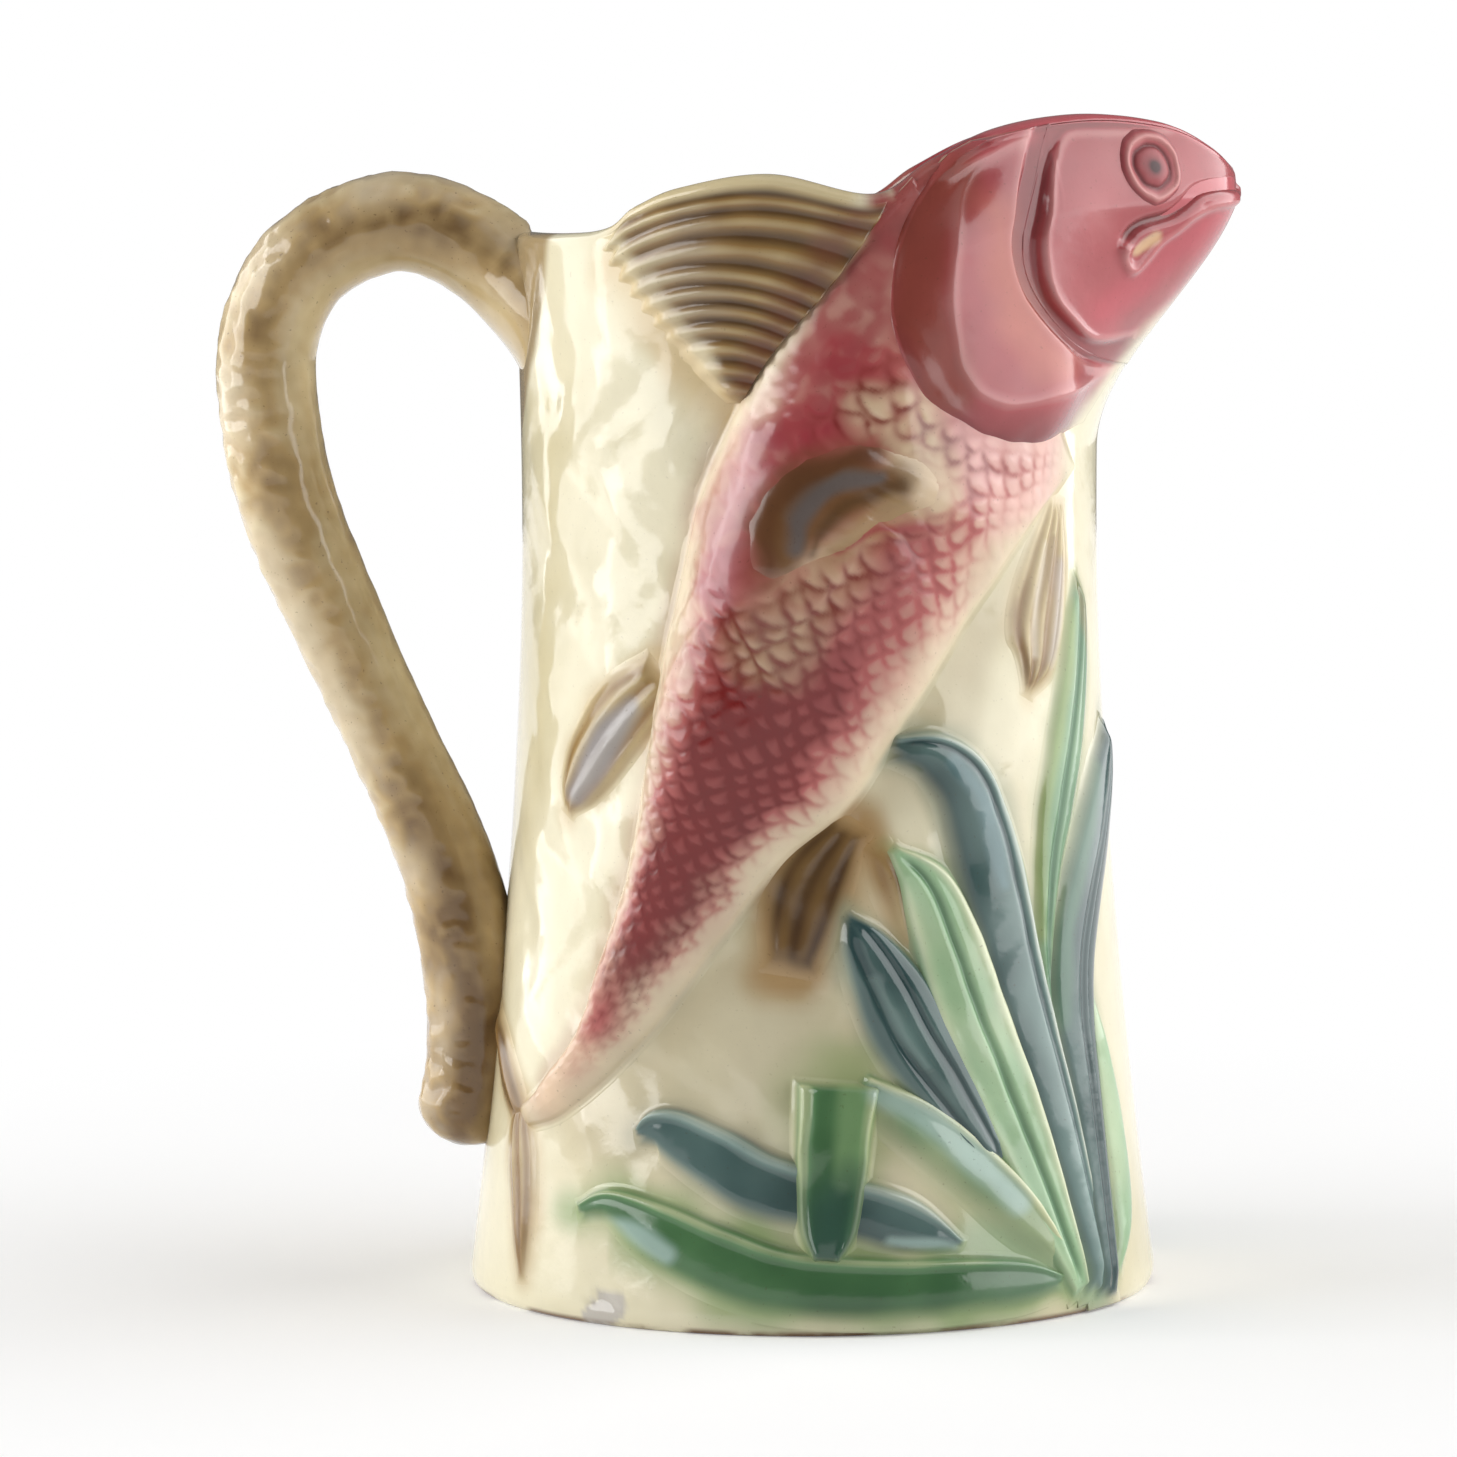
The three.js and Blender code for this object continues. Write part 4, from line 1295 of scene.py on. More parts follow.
    def height(self, angle: Array, z: Array) -> tuple[Array, Array]:
        """Rise of the head over the wall, and the depth of its glaze.

        Args:
            angle: Angles of the places.
            z: Heights of the places.

        Returns:
            The rise, and the depth from 0 to 1.
        """
        swell = self.fade(angle, z)
        firm = np.minimum(1, 3.0 * swell)
        lines = (self.rear, self.ridge, self.cheek, self.front, self.mouth, self.lip)
        away = [line.measure(angle, z)[0] for line in lines]
        from_rear, from_ridge, from_cheek = (-each for each in away[:3])
        from_front, from_mouth, from_lip = away[3:]
        floor = self.floor_height * swell
        low = FLANK.height(angle, z)
        low = low + self.step * smooth(20.0, 50.0, angle) * smooth(-1.0, 1.6, from_rear)
        slope = np.clip(from_rear / np.maximum(from_rear + np.maximum(-from_ridge, 0), TINY), 0, 1)
        top = np.maximum(self.gill_height * swell, 0.4)
        gill = mix(low, top, 1 - (1 - slope) ** self.gill_round)
        plate = np.maximum(from_ridge, 0)
        gill -= self.plate_fall * swell * plate / np.maximum(plate + np.maximum(from_front, 0), TINY)
        gill += self.ridge_bead.over(from_ridge) * firm
        gill = mix(floor, gill, smooth(0.0, 1.4, from_front))
        gill *= mix(0.5, 1.0, smooth(18.0, 42.0, angle))
        cheek = mix(floor, self.cheek_height * swell, smooth(*self.cheek_edge, from_cheek))
        cheek += self.cheek_bead.over(from_cheek) * firm
        rise = np.where(from_front > 0, gill, np.where(from_cheek > self.cheek_edge[0], cheek, floor))
        rise += self.mouth_cut.over(from_mouth)
        rise += self.mouth_roll.over(from_mouth) + self.lip_roll.over(from_lip)
        in_groove = 1 - smooth(0.0, 1.0, np.maximum(from_front, from_cheek))
        depth = HALF_DEPTH + self.groove_tone * in_groove
        depth += self.mouth_tone.over(from_mouth) + self.lip_tone.over(from_lip)
        depth += self.ridge_tone.over(from_ridge) + self.cheek_tone.over(from_cheek)
        depth += self.front_tone.over(from_front)
        depth += self.slope_tone * (1 - slope) * (from_rear > 0)
        return rise, np.clip(depth, 0, 1)

    def blushes(self) -> list[Blush]:
        """Colours laid over the rose of the head.

        Returns:
            The patches, the lowest first.
        """
        return [
            Blush(((62, 208, 2), (70, 197, 3), (71.5, 184, 4), (66, 170, 3)), srgb(134, 62, 46), 5.0, 0.75),
            Blush(((57, 202, 1), (55, 190, 2), (49, 180, 3), (40, 174, 2)), srgb(194, 112, 88), 6.0, 0.55),
            Blush(((30, 183, 1), (20, 188, 2), (14, 195, 2), (6, 200, 2)), srgb(190, 66, 82), 6.0, 0.5),
            Blush(((24, 195, 0.7), (21.5, 197, 0.9)), srgb(222, 186, 140), 1.0, 0.8, grain=0.1),
            Blush(((25, 160, 2), (11, 168, 1), (5, 178, 1), (0, 184, 1)), CREAM, 9.0, 0.95, grain=0.2),
            Blush(((10, 160, 5), (0, 172, 4)), CREAM, 8.0, 1.0, grain=0.2),
        ]

    def gill_sheet(self) -> Sheet:
        """The gill cover, from its rear edge over the scales to the groove.

        Returns:
            The sheet.
        """
        rows, columns = self.gill_grid
        rear, groove = (WALL.laid(line, rows) for line in (self.rear.knots, self.groove))
        width = np.linalg.norm(groove - rear, axis=1)[:, None]
        share = np.linspace(0, 1, columns)[None] * (width + sum(self.gill_skirt)) - self.gill_skirt[0]
        share = share / width
        angle, z = WALL.bent(rear[:, None] + (groove - rear)[:, None] * share[..., None])
        return self.head_sheet(angle, z, share * width)

    def cheek_sheet(self) -> Sheet:
        """The cheek and snout, from the groove round to the front and up to the rim.

        Returns:
            The sheet.
        """
        rows, columns = self.cheek_grid
        line = drawn(self.groove, 400)
        turn = line[:, 0].argmax()
        angle = np.linspace(0, line[turn, 0] - 0.2, columns)[None]
        lower, upper = line[turn:][::-1], line[: turn + 1]
        low = np.interp(angle, lower[:, 0], lower[:, 1])
        low = np.where(angle < lower[0, 0], self.front_z + 0.05 * angle, low)
        top = WALL.rim(angle) - self.rim_gap
        high = np.where(angle > upper[0, 0], np.interp(angle, upper[:, 0], upper[:, 1]), top)
        high = np.maximum(np.minimum(high, top), low + 0.4)
        z = mix(low, high, np.linspace(0, 1, rows)[:, None])
        angle = np.broadcast_to(angle, z.shape).copy()
        return self.head_sheet(angle, z, np.full(z.shape, 9.0))

    def head_sheet(self, angle: Array, z: Array, inside: Array) -> Sheet:
        """A sheet of the head's height and colours.

        Args:
            angle: Angles of a grid of places.
            z: Heights of the places.
            inside: How far each place lies inside the sheet's edge.

        Returns:
            The sheet.
        """
        rise, depth = self.height(angle, z)
        lift = softened(rise, 2) + 0.06
        lift -= DEEP_LUTING * smooth(22.0, 40.0, angle) * (1 - smooth(-1.6, -0.2, inside))
        lift -= self.rim_sunk * (1 - smooth(0, self.rim_gap, WALL.rim(angle) - self.rim_gap - z))
        grain = wobble(WALL.face(angle, z), GRAIN_SIZE, Seed.HEAD)
        above = z - self.front_z + 0.8 * np.maximum(angle - 8, 0) + grain
        tint = painted(self.blushes(), angle, z)
        depth = np.clip(depth + 0.08 * grain, 0, 1)
        return Sheet(angle, z, lift, smooth(0.0, 8.0, above), depth, tint)

    def eye_sheet(self) -> Sheet:
        """The eye: a ring, a moat and a ball with a dark pupil, set on the cheek.

        Returns:
            The sheet.
        """
        grid = np.linspace(-self.eye_reach, self.eye_reach, 66)
        across, up = np.meshgrid(grid, grid)
        centre = WALL.flat(*np.array(self.eye_place))
        lean = 0.12 * up
        places = centre + np.stack([(across + lean) * self.eye_half[0], up * self.eye_half[1]], axis=-1)
        angle, z = WALL.bent(places)
        rim = WALL.rim(angle)
        room = (rim - 1.0 - centre[1]) / (grid[-1] * self.eye_half[1])
        pressed = np.where(up > 0, np.minimum(1.0, room), 1.0)
        z, up = centre[1] + (z - centre[1]) * pressed, up * pressed
        out = np.hypot(across, up * (1 - 0.1 * up * np.abs(across)))
        out = out + 0.05 * wobble(WALL.face(angle, z), 2.6, Seed.EYE)
        seat = softened(self.height(angle, z)[0], 6)
        lift = seat + self.eye_ring.over(out) + self.eye_moat.over(out)
        lift += self.ball_height * np.sqrt(np.clip(1 - (out / self.ball_share) ** 2, 0, 1))
        lift += 0.12 - 0.7 * smooth(1.12, 1.34, out)
        lift -= 0.8 * smooth(0.0, 1.4, z - (rim - 2.6))
        depth = HALF_DEPTH + self.ring_tone.over(out) + self.moat_tone.over(out)
        depth += self.pupil_tone.over(out) + 0.12 * smooth(self.ball_share, 0.3, out)
        depth += self.socket_tone.over(out)
        return Sheet(angle, z, lift, np.ones(out.shape), np.clip(depth, 0, 1))


HEAD = FishHead()


@dataclass(frozen=True)
class DorsalFin:
    """The tall fin under the rim, its rays running from the fish's back to a ragged edge."""

    front: Knots = (
        (79, 203.5), (83.1, 197.7), (89.9, 188.1), (94.1, 182.7), (97.8, 177.7), (101.1, 172.2), (103.4, 167),
    )
    ragged: Knots = (
        (133, 196.8), (131, 193.1), (126.5, 188), (121.5, 183), (116.5, 178), (111, 172.1), (106, 167),
    )
    samples: int = 200
    rows: int = 200
    columns: int = 130
    reach: Pair = (-0.06, 1.07)
    tip: float = 0.985
    rim_gap: float = 1.6
    rays: int = 11
    ray_depth: float = 0.34
    tooth: float = 0.02
    body: float = 1.3
    crown: Hump = Hump(1.0, 0.35, 0.5)
    grain_size: float = 6.0
    pool: float = 0.62
    ray_tone: float = 0.3
    thin_tone: float = 0.28
    # Painted sheen: a pale grey highlight towards the ragged edge.
    painted_sheen: Blush = Blush(((112, 196, 3), (118, 190, 4), (112, 182, 3)), srgb(168, 156, 136), 8.0, 0.5)
    rust: Blush = Blush(
        ((82, 201, 1), (90, 190, 1), (97, 180, 1), (102, 171, 1)), srgb(112, 62, 46), 5.0, 0.6
    )

    def sheet(self) -> Sheet:
        """The fin as a sheet.

        Returns:
            The sheet.
        """
        down = np.linspace(0, self.tip, self.rows)
        places = np.linspace(0, 1, self.samples)
        front, ragged = (
            np.stack([np.interp(down, places, column) for column in drawn(line, self.samples).T], axis=1)
            for line in (self.front, self.ragged)
        )
        share = np.linspace(*self.reach, self.columns)[None, :, None]
        straight = mix(front[:, None], ragged[:, None], share)
        angle, chord = straight[..., 0], straight[..., 1]
        share, down = share[..., 0], down[:, None]
        waved = (WALL.rim(angle[0]) - self.rim_gap - chord[0])[None]
        arched = 4 * waved.max() * share * (1 - share)
        z = chord + mix(waved, arched, smooth(0.0, 0.22, down)) * (1 - down) ** 1.15
        ray = np.cos(2 * math.pi * self.rays * down)
        length = np.radians(ragged[:, 0] - front[:, 0])[:, None] * WALL.waist_radius
        inside = (1 - self.tooth * (1 - ray) - share) * np.maximum(length, 2.0)
        body = smooth(-1.2, 2.2, inside) * smooth(0.0, 0.06, down)
        body = body * (1 - 0.8 * smooth(0.93, 0.985, down))
        lift = (self.body + self.crown.over(share)) * body
        lift += self.ray_depth * ray * body * smooth(0.01, 0.05, down) * smooth(-1.5, 7.0, inside)
        lift += 0.04 - LUTING * (1 - smooth(-2.0, -0.8, inside)) - LUTING * (1 - smooth(0.0, 0.02, down))
        grain = wobble(WALL.face(angle, z), self.grain_size, Seed.DORSAL_FIN)
        depth = self.pool - self.ray_tone * ray - self.thin_tone * smooth(0.5, 0.98, share) + 0.12 * grain
        cover = smooth(-1.0, 6.0, inside + 2.5 * grain) * smooth(-0.01, 0.06, down)
        # Painted sheen, strongest on the rays' ridges.
        tint = painted([self.painted_sheen], angle, z)
        tint[..., 3] *= 0.5 + 0.5 * ray
        tint = self.rust.over(tint, angle, z, grain)
        return Sheet(angle, z, lift, cover, np.clip(depth, 0, 1), tint)


@dataclass(frozen=True)
class Sprig:
    """A pair of applied pieces, one on each side, with what has bled from them."""

    name: str
    glaze: GlazeName
    blades: tuple[Blade, ...]
    halo: Colour
    bleed: float = 4.0
    strength: float = 0.6
    tints: tuple[Blush, ...] = ()

    def blushes(self) -> list[Blush]:
        """The glaze that has run from each strip into the ground."""
        return [Blush(blade.line, self.halo, self.bleed, self.strength) for blade in self.blades]

    def sheets(self) -> list[Sheet]:
        """A sheet for each strip."""
        return [blade.sheet(self.tints) for blade in self.blades]


GREEN_HALO = srgb(150, 166, 112)
TEAL_HALO = srgb(150, 158, 132)
BROWN_HALO = srgb(178, 148, 100)
# Painted highlight: a pale blue-green streak laid on the reeds.
PAINTED_HIGHLIGHT = srgb(168, 194, 186)

REEDS = (
    Sprig("outer_reed", GlazeName.TEAL, (
        Blade(((121.5, 35, 1.4), (116.5, 36, 4.2), (108, 32, 5.6), (100, 27.5, 5.8), (92, 25, 5.6),
               (86, 23, 5)),
              crown=0.5, rim=(1.0, 0.2), feather=(0.8, 2.6), tone=(0.74, 0.9)),
    ), srgb(156, 152, 126), 3.6, 0.6),
    Sprig("inner_reed", GlazeName.TEAL, (
        Blade(((88, 23.5, 4.6), (81, 22, 5.2), (74, 19, 4.6), (66, 15.5, 1)),
              crown=0.6, rim=(0.8, 0.0), feather=(0.8, 1.8), tone=(0.88, 0.8), lean=0.1),
    ), TEAL_HALO, 3.0, 0.5, (
        # Painted highlight: a pale streak near the reed's end.
        Blush(((78, 17, 0.6), (72, 16, 0.8), (67, 15, 0.4)), PAINTED_HIGHLIGHT, 1.2, 0.6),
    )),
    Sprig("short_reed", GlazeName.TEAL, (
        Blade(((84.5, 75.5, 0.8), (81.3, 70, 4.4), (76.7, 61.5, 6.6), (72.3, 52.5, 7), (66, 42, 5.8),
               (58, 29, 2.6)),
              crown=1.4, feather=(1.2, 1.8), creases=((0.4, 0.5), (-0.35, 0.5)), tone=(0.9, 0.72)),
    ), TEAL_HALO, 4.0, 0.7, (
        # Painted highlight: a paler streak down the reed's middle.
        Blush(((80, 64, 0.3), (76, 56, 0.5), (71, 48, 0.3)), srgb(120, 146, 140), 1.4, 0.6),
    )),
    Sprig("edge_reed", GlazeName.LEAF, (
        Blade(((32, 62, 0.8), (29, 48, 3.4), (26.5, 33, 4.6), (26, 18, 4), (30, 6, 1.4)),
              crown=0.9, feather=(2.4, 1.6), tone=(0.3, 0.5), lean=-0.12),
    ), GREEN_HALO, 3.0, 0.4),
    Sprig("slim_reed", GlazeName.LEAF, (
        Blade(((26.5, 135, 0.7), (26, 128, 4.6), (28, 117, 5.8), (32, 105, 6.2), (37, 93, 5.6),
               (41, 81, 4), (43, 67, 2.4), (42, 50, 1.4)),
              edge=0.6, crown=0.8, feather=(2.8, 1.6), creases=((0.05, 0.6),), tone=(0.84, 0.76), lean=-0.1),
    ), GREEN_HALO, 3.4, 0.5, (
        Blush(((30, 130, 0.4), (32, 121, 1.0), (35.5, 110, 1.3), (40.5, 98, 1.3), (44, 86, 1), (45, 70, 0.6)),
              srgb(148, 166, 104), 2.0, 0.8),
        Blush(((27, 134, 0.4), (25, 128, 0.8), (23, 120, 0.5)), srgb(134, 122, 72), 1.8, 0.7),
    )),
    Sprig("front_reed", GlazeName.TEAL, (
        Blade(((12.8, 107.4, 0.9), (15.5, 99, 5.8), (22.5, 89, 7), (30, 78, 7.2), (35.5, 66, 7),
               (37, 54, 6.4), (36, 41, 5.4), (35, 24, 4.4), (34.6, 9, 3.6), (34.5, 2.6, 2.8)),
              crown=1.5, feather=(0.8, 2.4), creases=((-0.15, 0.6),), tone=(0.95, 0.88), lean=-0.15),
    ), TEAL_HALO, 4.0, 0.5, (
        Blush(((22, 99, 0.5), (29, 89, 1.4), (37, 77, 2.2), (42, 66, 2.4), (43, 54, 1.6)),
              srgb(104, 136, 114), 2.4, 0.7),
    )),
    Sprig("broad_reed", GlazeName.LEAF, (
        Blade(((75.5, 87, 0.8), (69.5, 80, 5), (65.5, 70, 6.4), (61.5, 57, 7), (56, 43, 6.6), (50.5, 29, 5.4),
               (44.5, 12, 3.4), (41.5, 5, 2)),
              crown=1.0, rim=(0.6, 0.3), feather=(1.0, 1.0),
              creases=((-0.1, 0.9), (0.98, 0.3)), tone=(0.4, 0.5)),
    ), GREEN_HALO, 4.0, 0.7),
    Sprig("hooked_reed", GlazeName.TEAL, (
        Blade(((75, 105, 2.4), (67.5, 103.5, 4.6), (61.5, 98.5, 6), (58, 90, 6.8), (55, 78, 7),
               (51.5, 64, 6.4), (47.5, 49, 5.6), (43, 32, 4.8), (38.5, 12, 3.6), (37.5, 4, 2.6)),
              rim=(0.4, 0.0), feather=(0.9, 2.4), creases=((-0.55, 0.5),), tone=(0.8, 0.56), lean=0.22),
    ), TEAL_HALO, 4.6, 0.7, (
        # Painted highlight: a bluish streak along the reed's ridge.
        Blush(((64, 102.5, 0.4), (59, 96.5, 0.8), (56.5, 89, 0.8), (54.5, 80, 0.3)),
              srgb(132, 164, 172), 1.8, 0.35),
    )),
    Sprig("folded_reed", GlazeName.GREEN, (
        Blade(((82.5, 44.5, 2.6), (73, 37.5, 4.8), (62, 28, 5), (54, 19.5, 4.6), (46, 10.5, 2.2)),
              crown=0.9, rim=(0.7, 0.0), feather=(0.8, 3.8), tone=(0.4, 0.3)),
        Blade(((86.2, 45, 6.6), (87, 37, 6), (87.6, 28, 5.4), (88.2, 19, 4.4), (88.6, 13.5, 2)),
              edge=2.6, crown=0.3, rim=(0.9, 0.9), feather=(1.0, 1.0), tone=(0.68, 0.86)),
    ), GREEN_HALO, 6.0, 0.6, (
        # Painted highlight: a pale band along the stem's upper edge.
        Blush(((80, 43.5, 0.8), (72, 39, 1.4), (63, 31, 1.4), (55, 22, 1)), PAINTED_HIGHLIGHT, 2.4, 0.75),
        Blush(((92, 49.5, 0.6), (86, 49.8, 1), (81, 48.5, 0.6)), srgb(196, 210, 168), 1.6, 0.8),
        Blush(((84, 44, 1.2), (84.6, 36, 1.6), (85.4, 28, 1)), srgb(124, 158, 108), 2.2, 0.75),
        Blush(((88, 22, 4), (88.4, 14, 4)), srgb(46, 78, 70), 8.0, 0.75),
    )),
    Sprig("foot_reed", GlazeName.GREEN, (
        Blade(((133, 20, 1.6), (126, 21.8, 3.2), (117, 18, 5.4), (107, 13.5, 6.2), (96, 9.8, 6),
               (80, 8.4, 5.6), (64, 8.2, 5), (54, 7.6, 4), (46, 6.6, 1.6)),
              crown=0.7, rim=(0.6, 0.0), feather=(0.9, 3.0), tone=(0.64, 0.9)),
    ), srgb(128, 156, 96), 6.5, 0.85, (
        # Painted highlight: a pale streak at the reed's left end.
        Blush(((130, 18.5, 0.6), (122, 17.5, 1.2), (115, 14, 1)), PAINTED_HIGHLIGHT, 2.0, 0.7),
        Blush(((56, 8, 3), (44, 7, 3)), srgb(112, 144, 112), 7.0, 0.5),
    )),
)

FINS = (
    Sprig("back_fin", GlazeName.UMBER, (
        Blade(((120.5, 118, 4.6), (128.5, 111.5, 6.6), (136, 103, 6.6), (140.5, 96.5, 4.4),
               (142.8, 92.5, 1.2)),
              edge=0.7, crown=0.9, rays=3, ray_depth=0.2, tone=(0.3, 0.44), feather=(1.4, 2.6)),
    ), srgb(196, 170, 122), 3.6, 0.7, (
        Blush(((126, 112, 1), (133, 104.5, 2.6), (139.5, 96, 2)), srgb(158, 154, 154), 2.4, 0.85),
        Blush(((127, 121, 0.2), (135, 115, 0.6), (141, 107.5, 0.6), (144.5, 98.5, 0.7),
               (142.5, 91.5, 0.8), (137, 90, 0.5)),
              srgb(122, 88, 48), 1.6, 0.8),
    )),
    Sprig("pelvic_fin", GlazeName.UMBER, (
        Blade(((34, 149, 2.4), (37, 138, 6.6), (40.3, 127, 8.2), (41.5, 120, 6), (44.5, 114, 1)),
              edge=0.35, crown=0.4, rays=4, ray_depth=0.24, tone=(0.16, 0.36), feather=(3.0, 2.4)),
    ), srgb(210, 188, 146), 3.6, 0.6, (
        # Painted highlight: a lavender-grey streak along the fin.
        Blush(((33, 137, 0.6), (34.5, 128, 1.2), (37, 120, 0.8)), srgb(172, 160, 158), 2.0, 0.7),
        Blush(((48, 131, 0.2), (48.2, 127, 0.7), (46.5, 121, 0.8), (45, 116, 0.5)),
              srgb(128, 92, 56), 1.8, 0.8),
        Blush(((39, 141, 0.2), (42, 130, 0.5), (42.5, 121, 0.3)), srgb(226, 214, 190), 1.2, 0.7),
        Blush(((36, 142, 0.2), (38.5, 130, 0.5), (40.5, 119, 0.4)), srgb(136, 104, 66), 1.2, 0.7),
    )),
    Sprig("anal_fin", GlazeName.UMBER, (
        Blade(((83.5, 92, 3.6), (90, 83, 6.4), (93, 74, 6.2), (94.5, 65.5, 4.2)),
              edge=0.3, crown=0.35, rays=3, ray_depth=0.14, tone=(0.8, 0.92), feather=(2.4, 3.0)),
        Blade(((79, 88, 2), (75.5, 80, 3.4), (73, 69, 1.4)),
              edge=0.2, crown=0.3, rays=2, ray_depth=0.1, tone=(0.5, 0.3), feather=(2.8, 2.8)),
    ), srgb(166, 130, 80), 6.0, 0.85),
    Sprig("tail_fin", GlazeName.UMBER, (
        Blade(((173, 52, 1.8), (166, 47, 3.6), (159, 41, 3.8), (152, 35, 2.4)),
              edge=0.4, crown=0.5, rays=2, ray_depth=0.2, tone=(0.8, 0.5), feather=(2.4, 2.4)),
        Blade(((153, 37, 2.6), (151, 28, 4.2), (148.7, 17, 3.4), (147, 6, 1)),
              edge=0.4, crown=0.5, rays=3, ray_depth=0.2, tone=(0.42, 0.56), feather=(2.4, 2.0)),
    ), srgb(186, 158, 108), 4.0, 0.7),
)

PECTORAL = Sprig("pectoral_fin", GlazeName.UMBER, (
    Blade(((68, 151.5, 2.4), (75, 153, 6.4), (83, 152.5, 9), (90.5, 148.5, 9.4), (96.5, 141.5, 7),
           (99.5, 134.5, 2.4)),
          edge=0.35, crown=0.55, feather=(3.2, 4.4), tone=(0.6, 0.7), on_fish=True),
), BROWN_HALO, 4.0, 0.7, (
    Blush(((95.5, 139, 1.4), (93, 146.5, 4), (86, 151.5, 4.6), (78, 153.2, 2.4)),
          srgb(112, 78, 44), 3.4, 0.95),
    Blush(((97.6, 138, 0.6), (97.5, 146, 0.8), (94.5, 152, 0.9), (89, 156.5, 0.9), (80, 159, 0.6)),
          srgb(92, 56, 30), 2.0, 0.8),
    # Painted reflection: a grey band along the fin's middle.
    Blush(((93.6, 141.5, 0.6), (92.4, 147.6, 1.1), (89, 152, 1.2), (84.8, 154.2, 1), (79, 154.6, 0.5)),
          srgb(98, 92, 90), 1.8, 0.85),
    Blush(((90.6, 140.5, 0.4), (88.2, 146, 0.6), (84, 150.5, 0.6), (78, 152.4, 0.6), (75, 153, 0.5)),
          srgb(84, 58, 28), 1.6, 0.7),
    Blush(((87, 141.5, 0.8), (82, 145.5, 2), (76, 148.5, 1.6)), srgb(158, 130, 84), 2.6, 0.8),
))


def ground_blushes() -> list[Blush]:
    """What lies on the cream ground: glaze bled from the fish, the fins and the reeds, wear, and the shade
    painted under and beside the fish.

    Returns:
        The patches, the lowest first.
    """
    belly = tuple((a - 3, z - 3, 1.0) for a, z in FLANK.belly[1:-1])
    back = tuple((a + 1, z, 0.5) for a, z in FLANK.back[1:])
    found = [
        # Painted shade: a grey-beige shadow on the ground under the fish's belly.
        Blush(belly, srgb(188, 172, 138), 12.0, 0.6),
        # Painted shade: a grey-beige patch on the ground below the rear of the belly.
        Blush(((118, 38, 5), (104, 48, 8), (94, 58, 6)), srgb(196, 186, 156), 13.0, 0.6),
        # Painted shadow: a brown-mauve line on the ground along the fish's back.
        Blush(back, srgb(176, 140, 116), 4.0, 0.55),
        Blush(((130, 192, 1), (118, 178, 2), (106, 166, 2)), srgb(206, 178, 128), 7.0, 0.7),
        Blush(((130, 200, 1.5), (110, 207, 1.5), (84, 205, 1.5)), srgb(214, 194, 148), 3.0, 0.8),
        Blush(((180, 199, 28), (180, 188, 24), (180, 178, 19), (180, 168, 12), (180, 158, 3)),
              srgb(158, 134, 94), 2.6, 0.9),
        Blush(((176, 66, 1), (174, 48, 3), (176, 28, 3)), srgb(180, 158, 116), 5.0, 0.7),
    ]
    for sprig in (*FINS, *REEDS):
        found.extend(sprig.blushes())
    found.append(Blush(((62, 15, 3), (52, 13, 4), (43, 11, 4), (38, 6, 3)), srgb(150, 172, 132), 4.0, 0.85))
    found += [
        Blush(((60, 212, 4), (48, 216, 6), (30, 216, 10), (14, 208, 10), (0, 202, 10)),
              srgb(192, 96, 102), 3.0, 1.0, grain=0.1),
        Blush(((77, 203, 1.5), (74, 200, 5), (68, 209, 4), (60, 214, 3)),
              srgb(150, 50, 56), 3.0, 0.9, grain=0.2),
        Blush(((129, 1, 2.2), (125.5, 4, 3.0)), srgb(194, 188, 178), 0.6, 1.0, Side.NEAR, 0.2),
    ]
    return found


